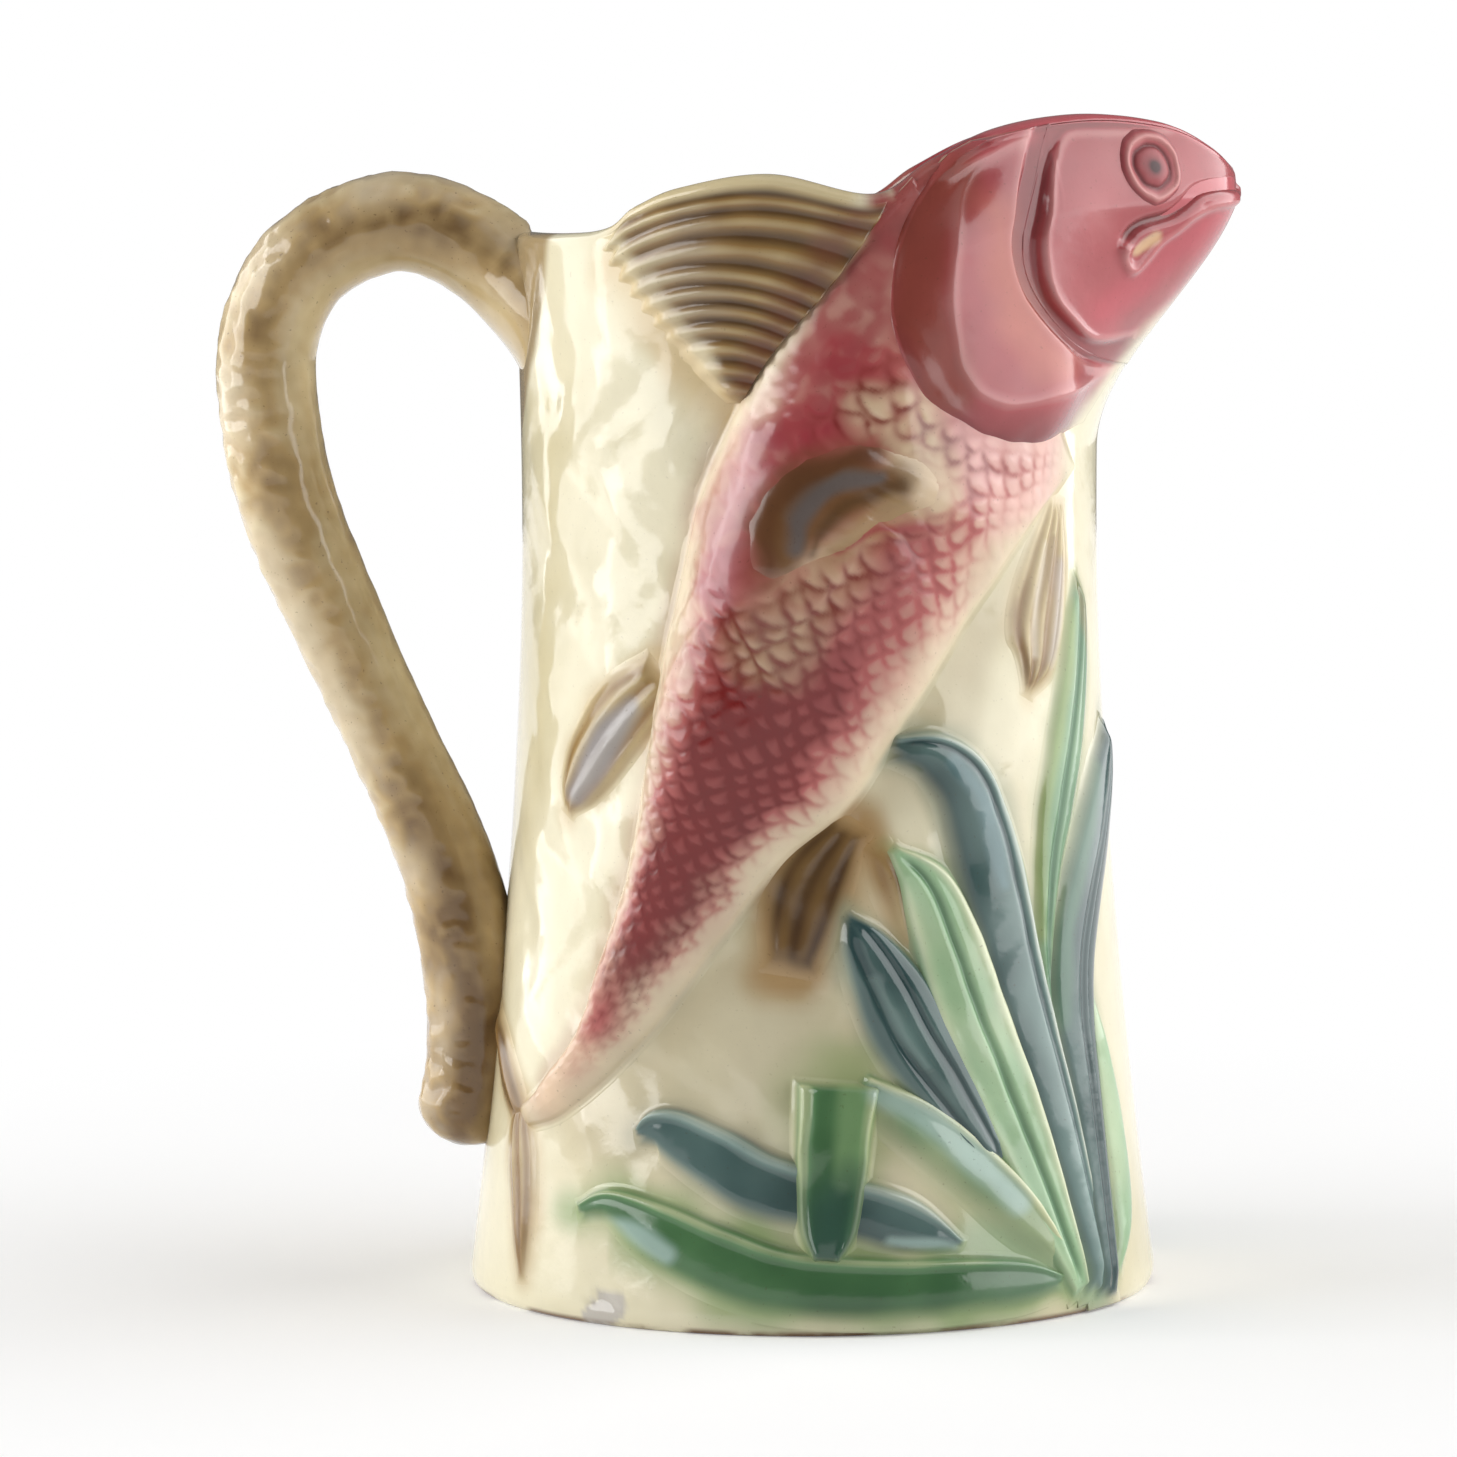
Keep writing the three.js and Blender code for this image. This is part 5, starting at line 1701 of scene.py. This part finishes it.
@dataclass(frozen=True)
class BodyShell:
    """The wall as a closed shell, parted into the body and the pouring lip."""

    columns: int = 360
    low_rows: int = 84
    high_rows: int = 44
    rim_rows: int = 9
    inner_low: int = 30
    inner_high: int = 26
    foot_round: float = 4.0
    foot_tuck: float = 0.5
    foot_rows: int = 6
    wall_thickness: float = 6.0
    rim_round: float = 2.4
    rim_square: float = 0.8
    floor_height: float = 8.0
    cove: float = 6.0
    seat_radius: float = 58.2
    lip_half_angle: float = 62.0
    chip_angle: float = 127.0
    chip_height: float = 2.5
    chip_size: float = 4.2
    chip_depth: float = 0.5
    chip_edge: float = 1.0
    worn: Colour = srgb(120, 88, 56)
    worn_height: Pair = (1.5, 0.3)
    patches: Pair = (55.0, 5.0)
    patch_cut: Pair = (0.42, 0.58)

    def material(self, skin: Tree, ground: Tree) -> Material:
        """Makes the cream glaze of the wall, worn to brown clay along the foot.

        Args:
            skin: The skin of all glazes.
            ground: The colour of the ground.

        Returns:
            The material.
        """
        made, tree, shader = new_material(GlazeName.CREAM.value.name)
        bare = new_node(tree, "ShaderNodeGroup", node_tree=ground).outputs["Colour"]
        spot = placed(tree)
        low = ranged(tree, height_of(tree, spot), *(each * MM for each in self.worn_height))
        patches = ranged(tree, clouded(tree, spot, *self.patches), *self.patch_cut)
        colour = blended(tree, arithmetic(tree, "MULTIPLY", low, patches), bare, opaque(self.worn))
        GlazeName.CREAM.value.finish(tree, shader, skin, colour)
        return made

    def sections(self) -> tuple[Array, int, int]:
        """Points of the wall's section at every angle, from the foot up, over the rim and down inside.

        Returns:
            A grid of angle by section place, and the places where the lip begins and ends.
        """
        angle = np.linspace(-180, 180, self.columns, endpoint=False)
        shoulder, throat = WALL.rim(angle) - self.rim_round, WALL.throat_height
        places: list[tuple[Limit, Limit]] = []
        for turn in np.linspace(0, math.pi / 2, self.foot_rows, endpoint=False):
            tuck = self.foot_round * (1 - math.sin(turn)) * self.foot_tuck
            places.append((self.foot_round * (1 - math.cos(turn)), tuck))
        for z in np.linspace(self.foot_round, throat, self.low_rows, endpoint=False):
            places.append((z, self.chipped(angle, z)))
        lip_out = len(places)
        for share in np.linspace(0, 1, self.high_rows):
            places.append((mix(throat, shoulder, share), 0.0))
        for turn in np.linspace(0, math.pi, self.rim_rows + 2)[1:-1]:
            squared = math.copysign(abs(math.cos(turn)) ** self.rim_square, math.cos(turn))
            rise = self.rim_round * abs(math.sin(turn)) ** self.rim_square
            places.append((shoulder + rise, 0.5 * self.wall_thickness * (1 - squared)))
        for share in np.linspace(0, 1, self.inner_high):
            places.append((mix(shoulder, throat, share), self.wall_thickness))
        lip_in = len(places) - 1
        for z in np.linspace(throat, self.floor_height, self.inner_low + 1)[1:]:
            near_floor = np.clip(1 - (z - self.floor_height) / (2 * self.cove), 0, 1)
            places.append((z, self.wall_thickness + self.cove * near_floor**2))
        out = WALL.outward(angle)
        rows = [
            WALL.face(angle, z + 0.0 * angle) - out * np.asarray(inset + 0.0 * angle)[:, None]
            for z, inset in places
        ]
        rows += [out * self.seat_radius + (0, 0, z) for z in (self.floor_height, 0.0)]
        return np.stack(rows, axis=1), lip_out, lip_in

    def chipped(self, angle: Array, z: float) -> Array:
        """How deep a knock has taken the glaze off the foot."""
        away = np.hypot(np.radians(angle - self.chip_angle) * WALL.foot_radius, z - self.chip_height)
        return self.chip_depth * (1 - smooth(self.chip_size - self.chip_edge, self.chip_size, away))

    def normals(self, grid: Array) -> Array:
        """Directions square to the shell, the same on both sides of the lip's seam.

        Args:
            grid: The shell's points.

        Returns:
            One direction for each point.
        """
        round_step, along_step = (np.roll(grid, -1, axis) - np.roll(grid, 1, axis) for axis in (0, 1))
        out = np.cross(along_step, round_step)
        out /= np.maximum(np.linalg.norm(out, axis=-1, keepdims=True), 1e-9)
        outside = grid.shape[1] // 3
        turned = (out[:, outside] * grid[:, outside] * (1, 1, 0)).sum() < 0
        return (-out if turned else out).reshape(-1, 3)

    def build(self, finish: Material, blushes: list[Blush]) -> None:
        """Makes the body and the lip.

        Args:
            finish: The glaze of both.
            blushes: What has bled into it, and the shade painted under and beside the fish.
        """
        grid, lip_out, lip_in = self.sections()
        columns, rows = grid.shape[:2]
        turn = np.linspace(-180, 180, columns, endpoint=False)
        # The ground's stains, and the shade painted under and beside the fish.
        stain = painted(blushes, np.broadcast_to(turn[:, None], grid.shape[:2]), grid[..., 2])
        stain[:, lip_in - self.inner_high + 1:, 3] = 0.0
        first, *_, last = np.flatnonzero(np.abs(turn) <= self.lip_half_angle + TINY)
        number = np.arange(columns * rows).reshape(columns, rows)
        after, down = np.roll(number, -1, axis=0), np.roll(np.arange(rows), -1)
        faces = quads(number, after, after[:, down], number[:, down])
        places = map_cells(*np.indices((columns, rows)), columns, rows)
        of_lip = np.zeros((columns, rows), bool)
        of_lip[first:last, lip_out:lip_in] = True
        of_lip = of_lip.ravel()
        near, far = number[first:last], number[first + 1:last + 1]
        seam = quads(near[:, lip_out], near[:, lip_in], far[:, lip_in], far[:, lip_out])
        ends = (number[first, lip_out:lip_in + 1], number[last, lip_out:lip_in + 1][::-1])
        normals = self.normals(grid)
        for name, picked, of_body in (("body_wall", ~of_lip, True), ("pouring_lip", of_lip, False)):
            solid = Solid()
            solid.add_points(grid, {"stain": stain})
            solid.add_faces(faces[picked], places[picked], True, False)
            for cap in (seam, *(end[None] for end in ends)):
                solid.add_cap(cap, of_body)
            piece = cleaned(solid.made(f"glazed_{name}"))
            piece.data.normals_split_custom_set_from_vertices(normals[solid.points_used()])
            fitted(piece, finish, GlazeName.CREAM.value.name, name)


@dataclass(frozen=True)
class LoopHandle:
    """The hammered loop handle, an oval section along its centre line.

    The line gives the distance from the wall's back and the height. The section runs from the side
    that faces the jug (-1) to the outer side (1).
    """

    line: Knots = (
        (-6, 182), (7, 195.4), (22, 200.4), (38, 194), (46, 182), (47.5, 168), (44, 147.5), (34.5, 125),
        (23.3, 102.5), (13, 82), (6.3, 62), (3.6, 42), (5, 26),
    )
    half_thickness: float = 9.4
    half_width: float = 10.0
    rows: int = 300
    sides: int = 64
    end_round: float = 7.0
    root_flare: float = 0.16
    root_reach: float = 12.0
    root_spread: float = 0.5
    sunk: float = 3.0
    dimple_size: float = 5.2
    dimple_depth: float = 0.4
    tongue: float = 9.5
    tongue_reach: float = 9.0
    slim: float = 0.1
    slim_height: float = 106.0
    slim_reach: float = 24.0
    cloud_size: float = 16.0
    depth: float = 0.4
    flank_tone: Hump = Hump(0.24, 0.05, 0.4)
    cloud_tone: float = 0.26
    side_tone: float = -0.2
    low_tone: float = 0.4
    low_heights: Pair = (60.0, 110.0)
    top_tone: float = 0.16
    top_heights: Pair = (188.0, 204.0)
    sheen: Colour = srgb(210, 192, 162)
    sheen_strength: float = 0.62

    def form(self) -> tuple[Array, dict[str, Array]]:
        """Works out the handle, ring by ring from its upper root.

        Returns:
            The points, and the paint that they carry.
        """
        line = drawn(self.line, 260)
        reach = WALL.radius(np.full(len(line), 180.0), line[:, 1]) + line[:, 0]
        line, run = evened(np.stack([-reach, line[:, 1]], axis=1), self.rows)
        way = unit(np.gradient(line, axis=0))
        out = np.stack([-way[:, 1], way[:, 0]], axis=1)
        end = np.clip(1 - (run[-1] - run) / self.end_round, 0, 0.985)
        size = 1 + self.root_flare * bell(run, self.root_reach)
        size *= np.sqrt(np.clip(1 - end**2, 0, 1))
        size *= 1 - self.slim * bell(line[:, 1] - self.slim_height, self.slim_reach)
        spread = 1 + self.root_spread * bell(run, self.root_reach)
        turn = np.linspace(0, 2 * math.pi, self.sides, endpoint=False)[None]
        thick, wide = np.cos(turn), np.sin(turn)
        lobes = np.stack([
            line[:, :1] + out[:, :1] * self.half_thickness * size[:, None] * thick,
            self.half_width * (size * spread)[:, None] * wide,
            line[:, 1:] + out[:, 1:] * self.half_thickness * size[:, None] * thick,
        ], axis=-1)
        middle = np.array([line[:, 0].mean() + 12.0, line[:, 1].mean()])
        outer = thick * np.sign((out * unit(line - middle)).sum())
        dents = wobble(lobes, self.dimple_size, Seed.DIMPLE)
        fine = wobble(lobes, 0.5 * self.dimple_size, Seed.FINE_DIMPLE)
        hammered = mix(0.35, 1.0, smooth(-0.5, 0.5, outer))
        hammered = hammered * smooth(0.0, 14.0, run)[:, None]
        push = -self.dimple_depth * hammered * (np.abs(dents) ** 0.7 + 0.8 * fine)
        normal = np.stack([out[:, :1] * thick, wide + 0 * run[:, None], out[:, 1:] * thick], axis=-1)
        lobes = lobes + normal * (push * np.minimum(1, size[:, None]))[..., None]
        hang = np.clip((line[:, 1:] - lobes[..., 2]) / self.half_thickness, 0, 1) ** 1.5
        hang = hang * bell(run, self.tongue_reach)[:, None]
        lobes[..., 2] -= self.tongue * hang
        lobes = self.seated(lobes, np.minimum(1, 1.7 * hang))
        cloud = wobble(lobes, self.cloud_size, Seed.HANDLE_CLOUD)
        depth = self.depth + self.flank_tone.over(outer)
        depth = depth + (0.4 * np.abs(dents) + 0.3 * fine - 0.12) * hammered
        depth += self.cloud_tone * cloud + self.side_tone * smooth(0.0, -0.9, outer)
        # Painted highlight: the outer side of the loop is made paler.
        depth += self.side_tone * smooth(0.3, 0.9, outer)
        depth += self.low_tone * (1 - smooth(*self.low_heights, lobes[..., 2]))
        depth += self.top_tone * smooth(*self.top_heights, lobes[..., 2])
        plain = np.zeros((*depth.shape, 4))
        sheen = plain + (*self.sheen, 0.0)
        sheen[..., 3] = smooth(0.0, 0.7, outer) * smooth(-0.4, 0.25, 0.3 * fine - cloud)
        sheen[..., 3] *= self.sheen_strength
        depth = np.clip(depth, 0, 1)
        return lobes, {"cover": np.ones(depth.shape), "depth": depth, "stain": plain, "tint": sheen}

    def seated(self, points: Array, share: Array) -> Array:
        """Draws points to the wall's face, and keeps them from going through the wall.

        Args:
            points: Points of the handle.
            share: How much of its distance each is drawn in.

        Returns:
            The points, no deeper than a little under the wall's face.
        """
        for drawing in (True, False):
            angle = np.degrees(np.arctan2(-points[..., 1], points[..., 0]))
            radius = np.hypot(points[..., 0], points[..., 1])
            wall = WALL.radius(angle, points[..., 2])
            drawn_in = mix(radius, wall - 0.6, share)
            held_out = np.maximum(radius, wall - self.sunk)
            scale = (drawn_in if drawing else held_out) / radius
            points = points * np.stack([scale, scale, np.ones_like(scale)], axis=-1)
        return points

    def build(self, finish: Material) -> None:
        """Makes the handle.

        Args:
            finish: Its glaze.
        """
        solid = Solid()
        solid.add_points(*self.form())
        number = np.arange(self.rows * self.sides).reshape(self.rows, self.sides)
        beside = np.roll(number, -1, axis=1)
        along, across = np.indices((self.rows - 1, self.sides))
        faces = quads(number[:-1], beside[:-1], beside[1:], number[1:])
        solid.add_faces(faces, map_cells(across, along, self.sides, self.rows), True, False)
        for end in (number[0][::-1], number[-1]):
            solid.add_cap(end[None], False)
        fitted(cleaned(solid.made("glazed_handle")), finish, GlazeName.BARK.value.name, "handle")


@dataclass(frozen=True)
class BaseDisc:
    """The base: a glazed floor inside, and a bare clay foot with a shallow hollow under it."""

    profile: Knots = (
        (0.0, 8.5), (30.0, 8.3), (48.0, 8.05), (57.9, 8.0), (57.9, 0.4), (57.3, 0.05), (54.5, 0.0),
        (53.0, 0.3), (51.0, 1.3), (46.0, 1.6), (0.0, 1.7),
    )
    sides: int = 128
    name: str = "bare_clay"
    clay: Colour = srgb(214, 198, 166)
    worn: Colour = srgb(158, 132, 98)
    grit: Pair = (160.0, 6.0)
    worn_cut: Pair = (0.4, 0.66)
    glaze_height: Pair = (6.0, 7.0)
    roughness: float = 0.7
    gloss: float = 0.55
    coat: float = 0.2
    map_size: float = 240.0
    map_middle: float = 0.25
    under_height: float = 4.0

    def material(self, skin: Tree, ground: Tree) -> Material:
        """Makes the glaze of the floor and the bare clay below.

        Args:
            skin: The skin of all glazes.
            ground: The colour of the ground.

        Returns:
            The material.
        """
        made, tree, shader = new_material(self.name)
        spot = placed(tree)
        grit = ranged(tree, clouded(tree, spot, *self.grit), *self.worn_cut)
        clay = blended(tree, grit, opaque(self.clay), opaque(self.worn))
        glazed = ranged(tree, height_of(tree, spot), *(each * MM for each in self.glaze_height))
        bare = new_node(tree, "ShaderNodeGroup", node_tree=ground).outputs["Colour"]
        GlazeName.CREAM.value.finish(tree, shader, skin, blended(tree, glazed, clay, bare))
        rough = arithmetic(tree, "MULTIPLY_ADD", glazed, -self.gloss, self.roughness)
        tree.links.new(rough, shader.inputs["Roughness"])
        tree.links.new(arithmetic(tree, "MULTIPLY", glazed, self.coat), shader.inputs["Coat Weight"])
        return made

    def build(self, finish: Material) -> None:
        """Makes the base.

        Args:
            finish: Its clay and glaze.
        """
        profile = np.array(self.profile, float)[1:-1]
        rows = len(profile)
        turn = np.linspace(0, 2 * math.pi, self.sides, endpoint=False)[:, None]
        ring = np.stack([
            profile[:, 0] * np.cos(turn), profile[:, 0] * np.sin(turn), profile[:, 1] + 0 * turn,
        ], axis=-1)
        tips = np.array([(0.0, 0.0, z) for _, z in (self.profile[0], self.profile[-1])])
        solid = Solid()
        points = np.vstack([ring.reshape(-1, 3), tips])
        solid.add_points(points, {"stain": np.zeros((len(points), 4))})
        number = np.arange(self.sides * rows).reshape(self.sides, rows)
        beside = np.roll(number, -1, axis=0)
        laid = points[:, :2] / self.map_size + self.map_middle
        laid[:, 0] += 0.5 * (points[:, 2] < self.under_height)
        faces = [quads(number[:, :-1], beside[:, :-1], beside[:, 1:], number[:, 1:])]
        for end, tip in ((0, number.size), (rows - 1, number.size + 1)):
            faces.append(quads(number[:, end], beside[:, end], np.full(self.sides, tip)))
        for each in faces:
            solid.add_faces(each, laid[each], True, False)
        fitted(cleaned(solid.made("glazed_base_disc")), finish, self.name, "base_disc")


@dataclass(frozen=True)
class Studio:
    """A pale floor, a window on each side, a fill on the left, a weak top light and the camera."""

    floor_size: float = 6.0
    floor_colour: Colour = srgb(238, 238, 238)
    floor_roughness: float = 0.9
    floor_lift: float = 0.2
    floor_white: Pair = (0.1, 0.36)
    room_light: float = 0.1
    room_in_glaze: float = 0.16
    light_aim: tuple[float, float, float] = (0.0, 0.0, 0.11)
    target: tuple[float, float, float] = (-0.0154, 0.0, 0.1047)
    camera_distance: float = 1.15
    camera_pitch: float = 4.6
    camera_roll: float = 0.3
    view_width: float = 0.2751
    sensor: float = 36.0

    def build(self) -> None:
        """Makes the floor, the lights, the surroundings and the camera."""
        self.lay_floor()
        self.light("left_window", (-72, 18), 1.3, (0.9, 0.9), 11.0)
        self.light("left_fill", (-108, 15), 1.3, (1.1, 1.1), 9.0)
        self.light("right_window", (90, 22), 1.3, (2.3, 1.3), 27.0)
        self.light("top_fill", (10, 74), 1.6, (1.2, 1.2), 2.0)
        self.surround()
        self.set_camera()

    def lay_floor(self) -> None:
        """Lays the floor, which keeps the shadow near the jug and is white further out."""
        half = self.floor_size / 2
        corners = [(-half, -half, 0), (half, -half, 0), (half, half, 0), (-half, half, 0)]
        mesh = bpy.data.meshes.new("floor")
        mesh.from_pydata(corners, [], [(0, 1, 2, 3)])
        floor = bpy.data.objects.new("floor", mesh)
        bpy.context.scene.collection.objects.link(floor)
        made, tree, shader = new_material("pale_floor")
        shader.inputs["Base Color"].default_value = opaque(self.floor_colour)
        shader.inputs["Roughness"].default_value = self.floor_roughness
        shader.inputs["Specular IOR Level"].default_value = 0.0
        away = new_node(tree, "ShaderNodeVectorMath", {0: placed(tree)}, operation="LENGTH").outputs["Value"]
        seen = white_seen(tree)
        white = new_node(tree, "ShaderNodeEmission", {"Color": WHITE})
        glow = new_node(tree, "ShaderNodeEmission", {"Color": WHITE, "Strength": self.floor_lift})
        lifted = new_node(tree, "ShaderNodeAddShader", {0: shader.outputs[0], 1: glow.outputs[0]})
        near = new_node(tree, "ShaderNodeMixShader", {0: seen, 1: shader.outputs[0], 2: lifted.outputs[0]})
        far = arithmetic(tree, "MULTIPLY", ranged(tree, away, *self.floor_white), seen)
        both = new_node(tree, "ShaderNodeMixShader", {0: far, 1: near.outputs[0], 2: white.outputs[0]})
        tree.links.new(both.outputs[0], tree.nodes["Material Output"].inputs["Surface"])
        mesh.materials.append(made)

    def light(self, name: str, way: Pair, distance: float, size: Pair, power: float) -> None:
        """Hangs a soft light.

        Args:
            name: What it is called.
            way: Degrees to the right of the camera and above the horizon.
            distance: How far from the jug's middle, in metres.
            size: Width and height in metres.
            power: Watts.
        """
        lamp = bpy.data.lights.new(name, "AREA")
        lamp.shape = "RECTANGLE"
        lamp.size, lamp.size_y = size
        lamp.energy = power
        held = bpy.data.objects.new(name, lamp)
        turn, rise = (math.radians(each) for each in way)
        back = Vector((math.sin(turn) * math.cos(rise), -math.cos(turn) * math.cos(rise), math.sin(rise)))
        self.aim(held, Vector(self.light_aim), back, distance)

    def aim(self, held: bpy.types.Object, target: Vector, back: Vector, distance: float) -> None:
        """Hangs a light or a camera so that it faces a target.

        Args:
            held: The light or the camera.
            target: What it faces.
            back: The direction from the target to it.
            distance: How far away it hangs.
        """
        held.location = target + back * distance
        held.rotation_mode = "QUATERNION"
        held.rotation_quaternion = (-back).to_track_quat("-Z", "Y")
        bpy.context.scene.collection.objects.link(held)

    def surround(self) -> None:
        """Gives the room its even light, and white behind the jug."""
        world = bpy.data.worlds.new("room")
        world.use_nodes = True
        tree = world.node_tree
        strength = arithmetic(tree, "MAXIMUM", white_seen(tree, self.room_in_glaze), self.room_light)
        background = tree.nodes["Background"]
        background.inputs["Color"].default_value = WHITE
        tree.links.new(strength, background.inputs["Strength"])
        bpy.context.scene.world = world

    def set_camera(self) -> None:
        """Sets the camera at the photograph's viewing angle."""
        made = bpy.data.cameras.new("camera")
        made.sensor_width = self.sensor
        made.lens = self.sensor * self.camera_distance / self.view_width
        camera = bpy.data.objects.new("camera", made)
        pitch = math.radians(self.camera_pitch)
        back = Vector((0, -math.cos(pitch), math.sin(pitch)))
        self.aim(camera, Vector(self.target), back, self.camera_distance)
        camera.rotation_quaternion @= Quaternion((0, 0, 1), -math.radians(self.camera_roll))
        bpy.context.scene.camera = camera


@dataclass
class Relief:
    """Lays the relief on the wall, each piece once on the near side and mirrored on the far side."""

    glazes: dict[GlazeName, Material]
    ground: list[Blush]

    def lay(self, name: str, glaze: GlazeName, sheets: list[Sheet]) -> None:
        """Makes a pair of pieces.

        Args:
            name: What they are called, less their side.
            glaze: Their glaze.
            sheets: The sheets that each is made of.
        """
        for sheet in sheets:
            sheet.stain = painted(self.ground, sheet.angle, sheet.z)
        for side in (Side.NEAR, Side.FAR):
            solid = Solid()
            for place, sheet in enumerate(sheets):
                band = (place / len(sheets), (place + MAP_BAND) / len(sheets))
                solid.add_sheet(sheet, band, side)
            piece = solid.made(f"glazed_{name}_{side.value}")
            fitted(piece, self.glazes[glaze], glaze.value.name, f"{name}_{side.value}")


def main() -> None:
    """Builds the jug piece by piece, then the studio."""
    logging.basicConfig(level=logging.INFO, format="%(name)s: %(message)s")
    bpy.context.scene.view_settings.view_transform = "Standard"
    skin, ground = GlazeSkin().group(), GroundGlaze().group()
    glazes = {each: each.value.material(skin, ground) for each in GlazeName if each is not GlazeName.CREAM}
    blushes = ground_blushes()
    shell, base, relief = BodyShell(), BaseDisc(), Relief(glazes, blushes)
    shell.build(shell.material(skin, ground), blushes)
    base.build(base.material(skin, ground))
    LoopHandle().build(glazes[GlazeName.BARK])
    relief.lay("fish_flank", GlazeName.RED, [FLANK.sheet()])
    relief.lay("gill_cover", GlazeName.ROSE, [HEAD.gill_sheet()])
    relief.lay("cheek", GlazeName.ROSE, [HEAD.cheek_sheet()])
    relief.lay("eye", GlazeName.INK, [HEAD.eye_sheet()])
    relief.lay("dorsal_fin", GlazeName.UMBER, [DorsalFin().sheet()])
    for sprig in (PECTORAL, *FINS, *REEDS):
        relief.lay(sprig.name, sprig.glaze, sprig.sheets())
    Studio().build()


if __name__ == "__main__":
    main()
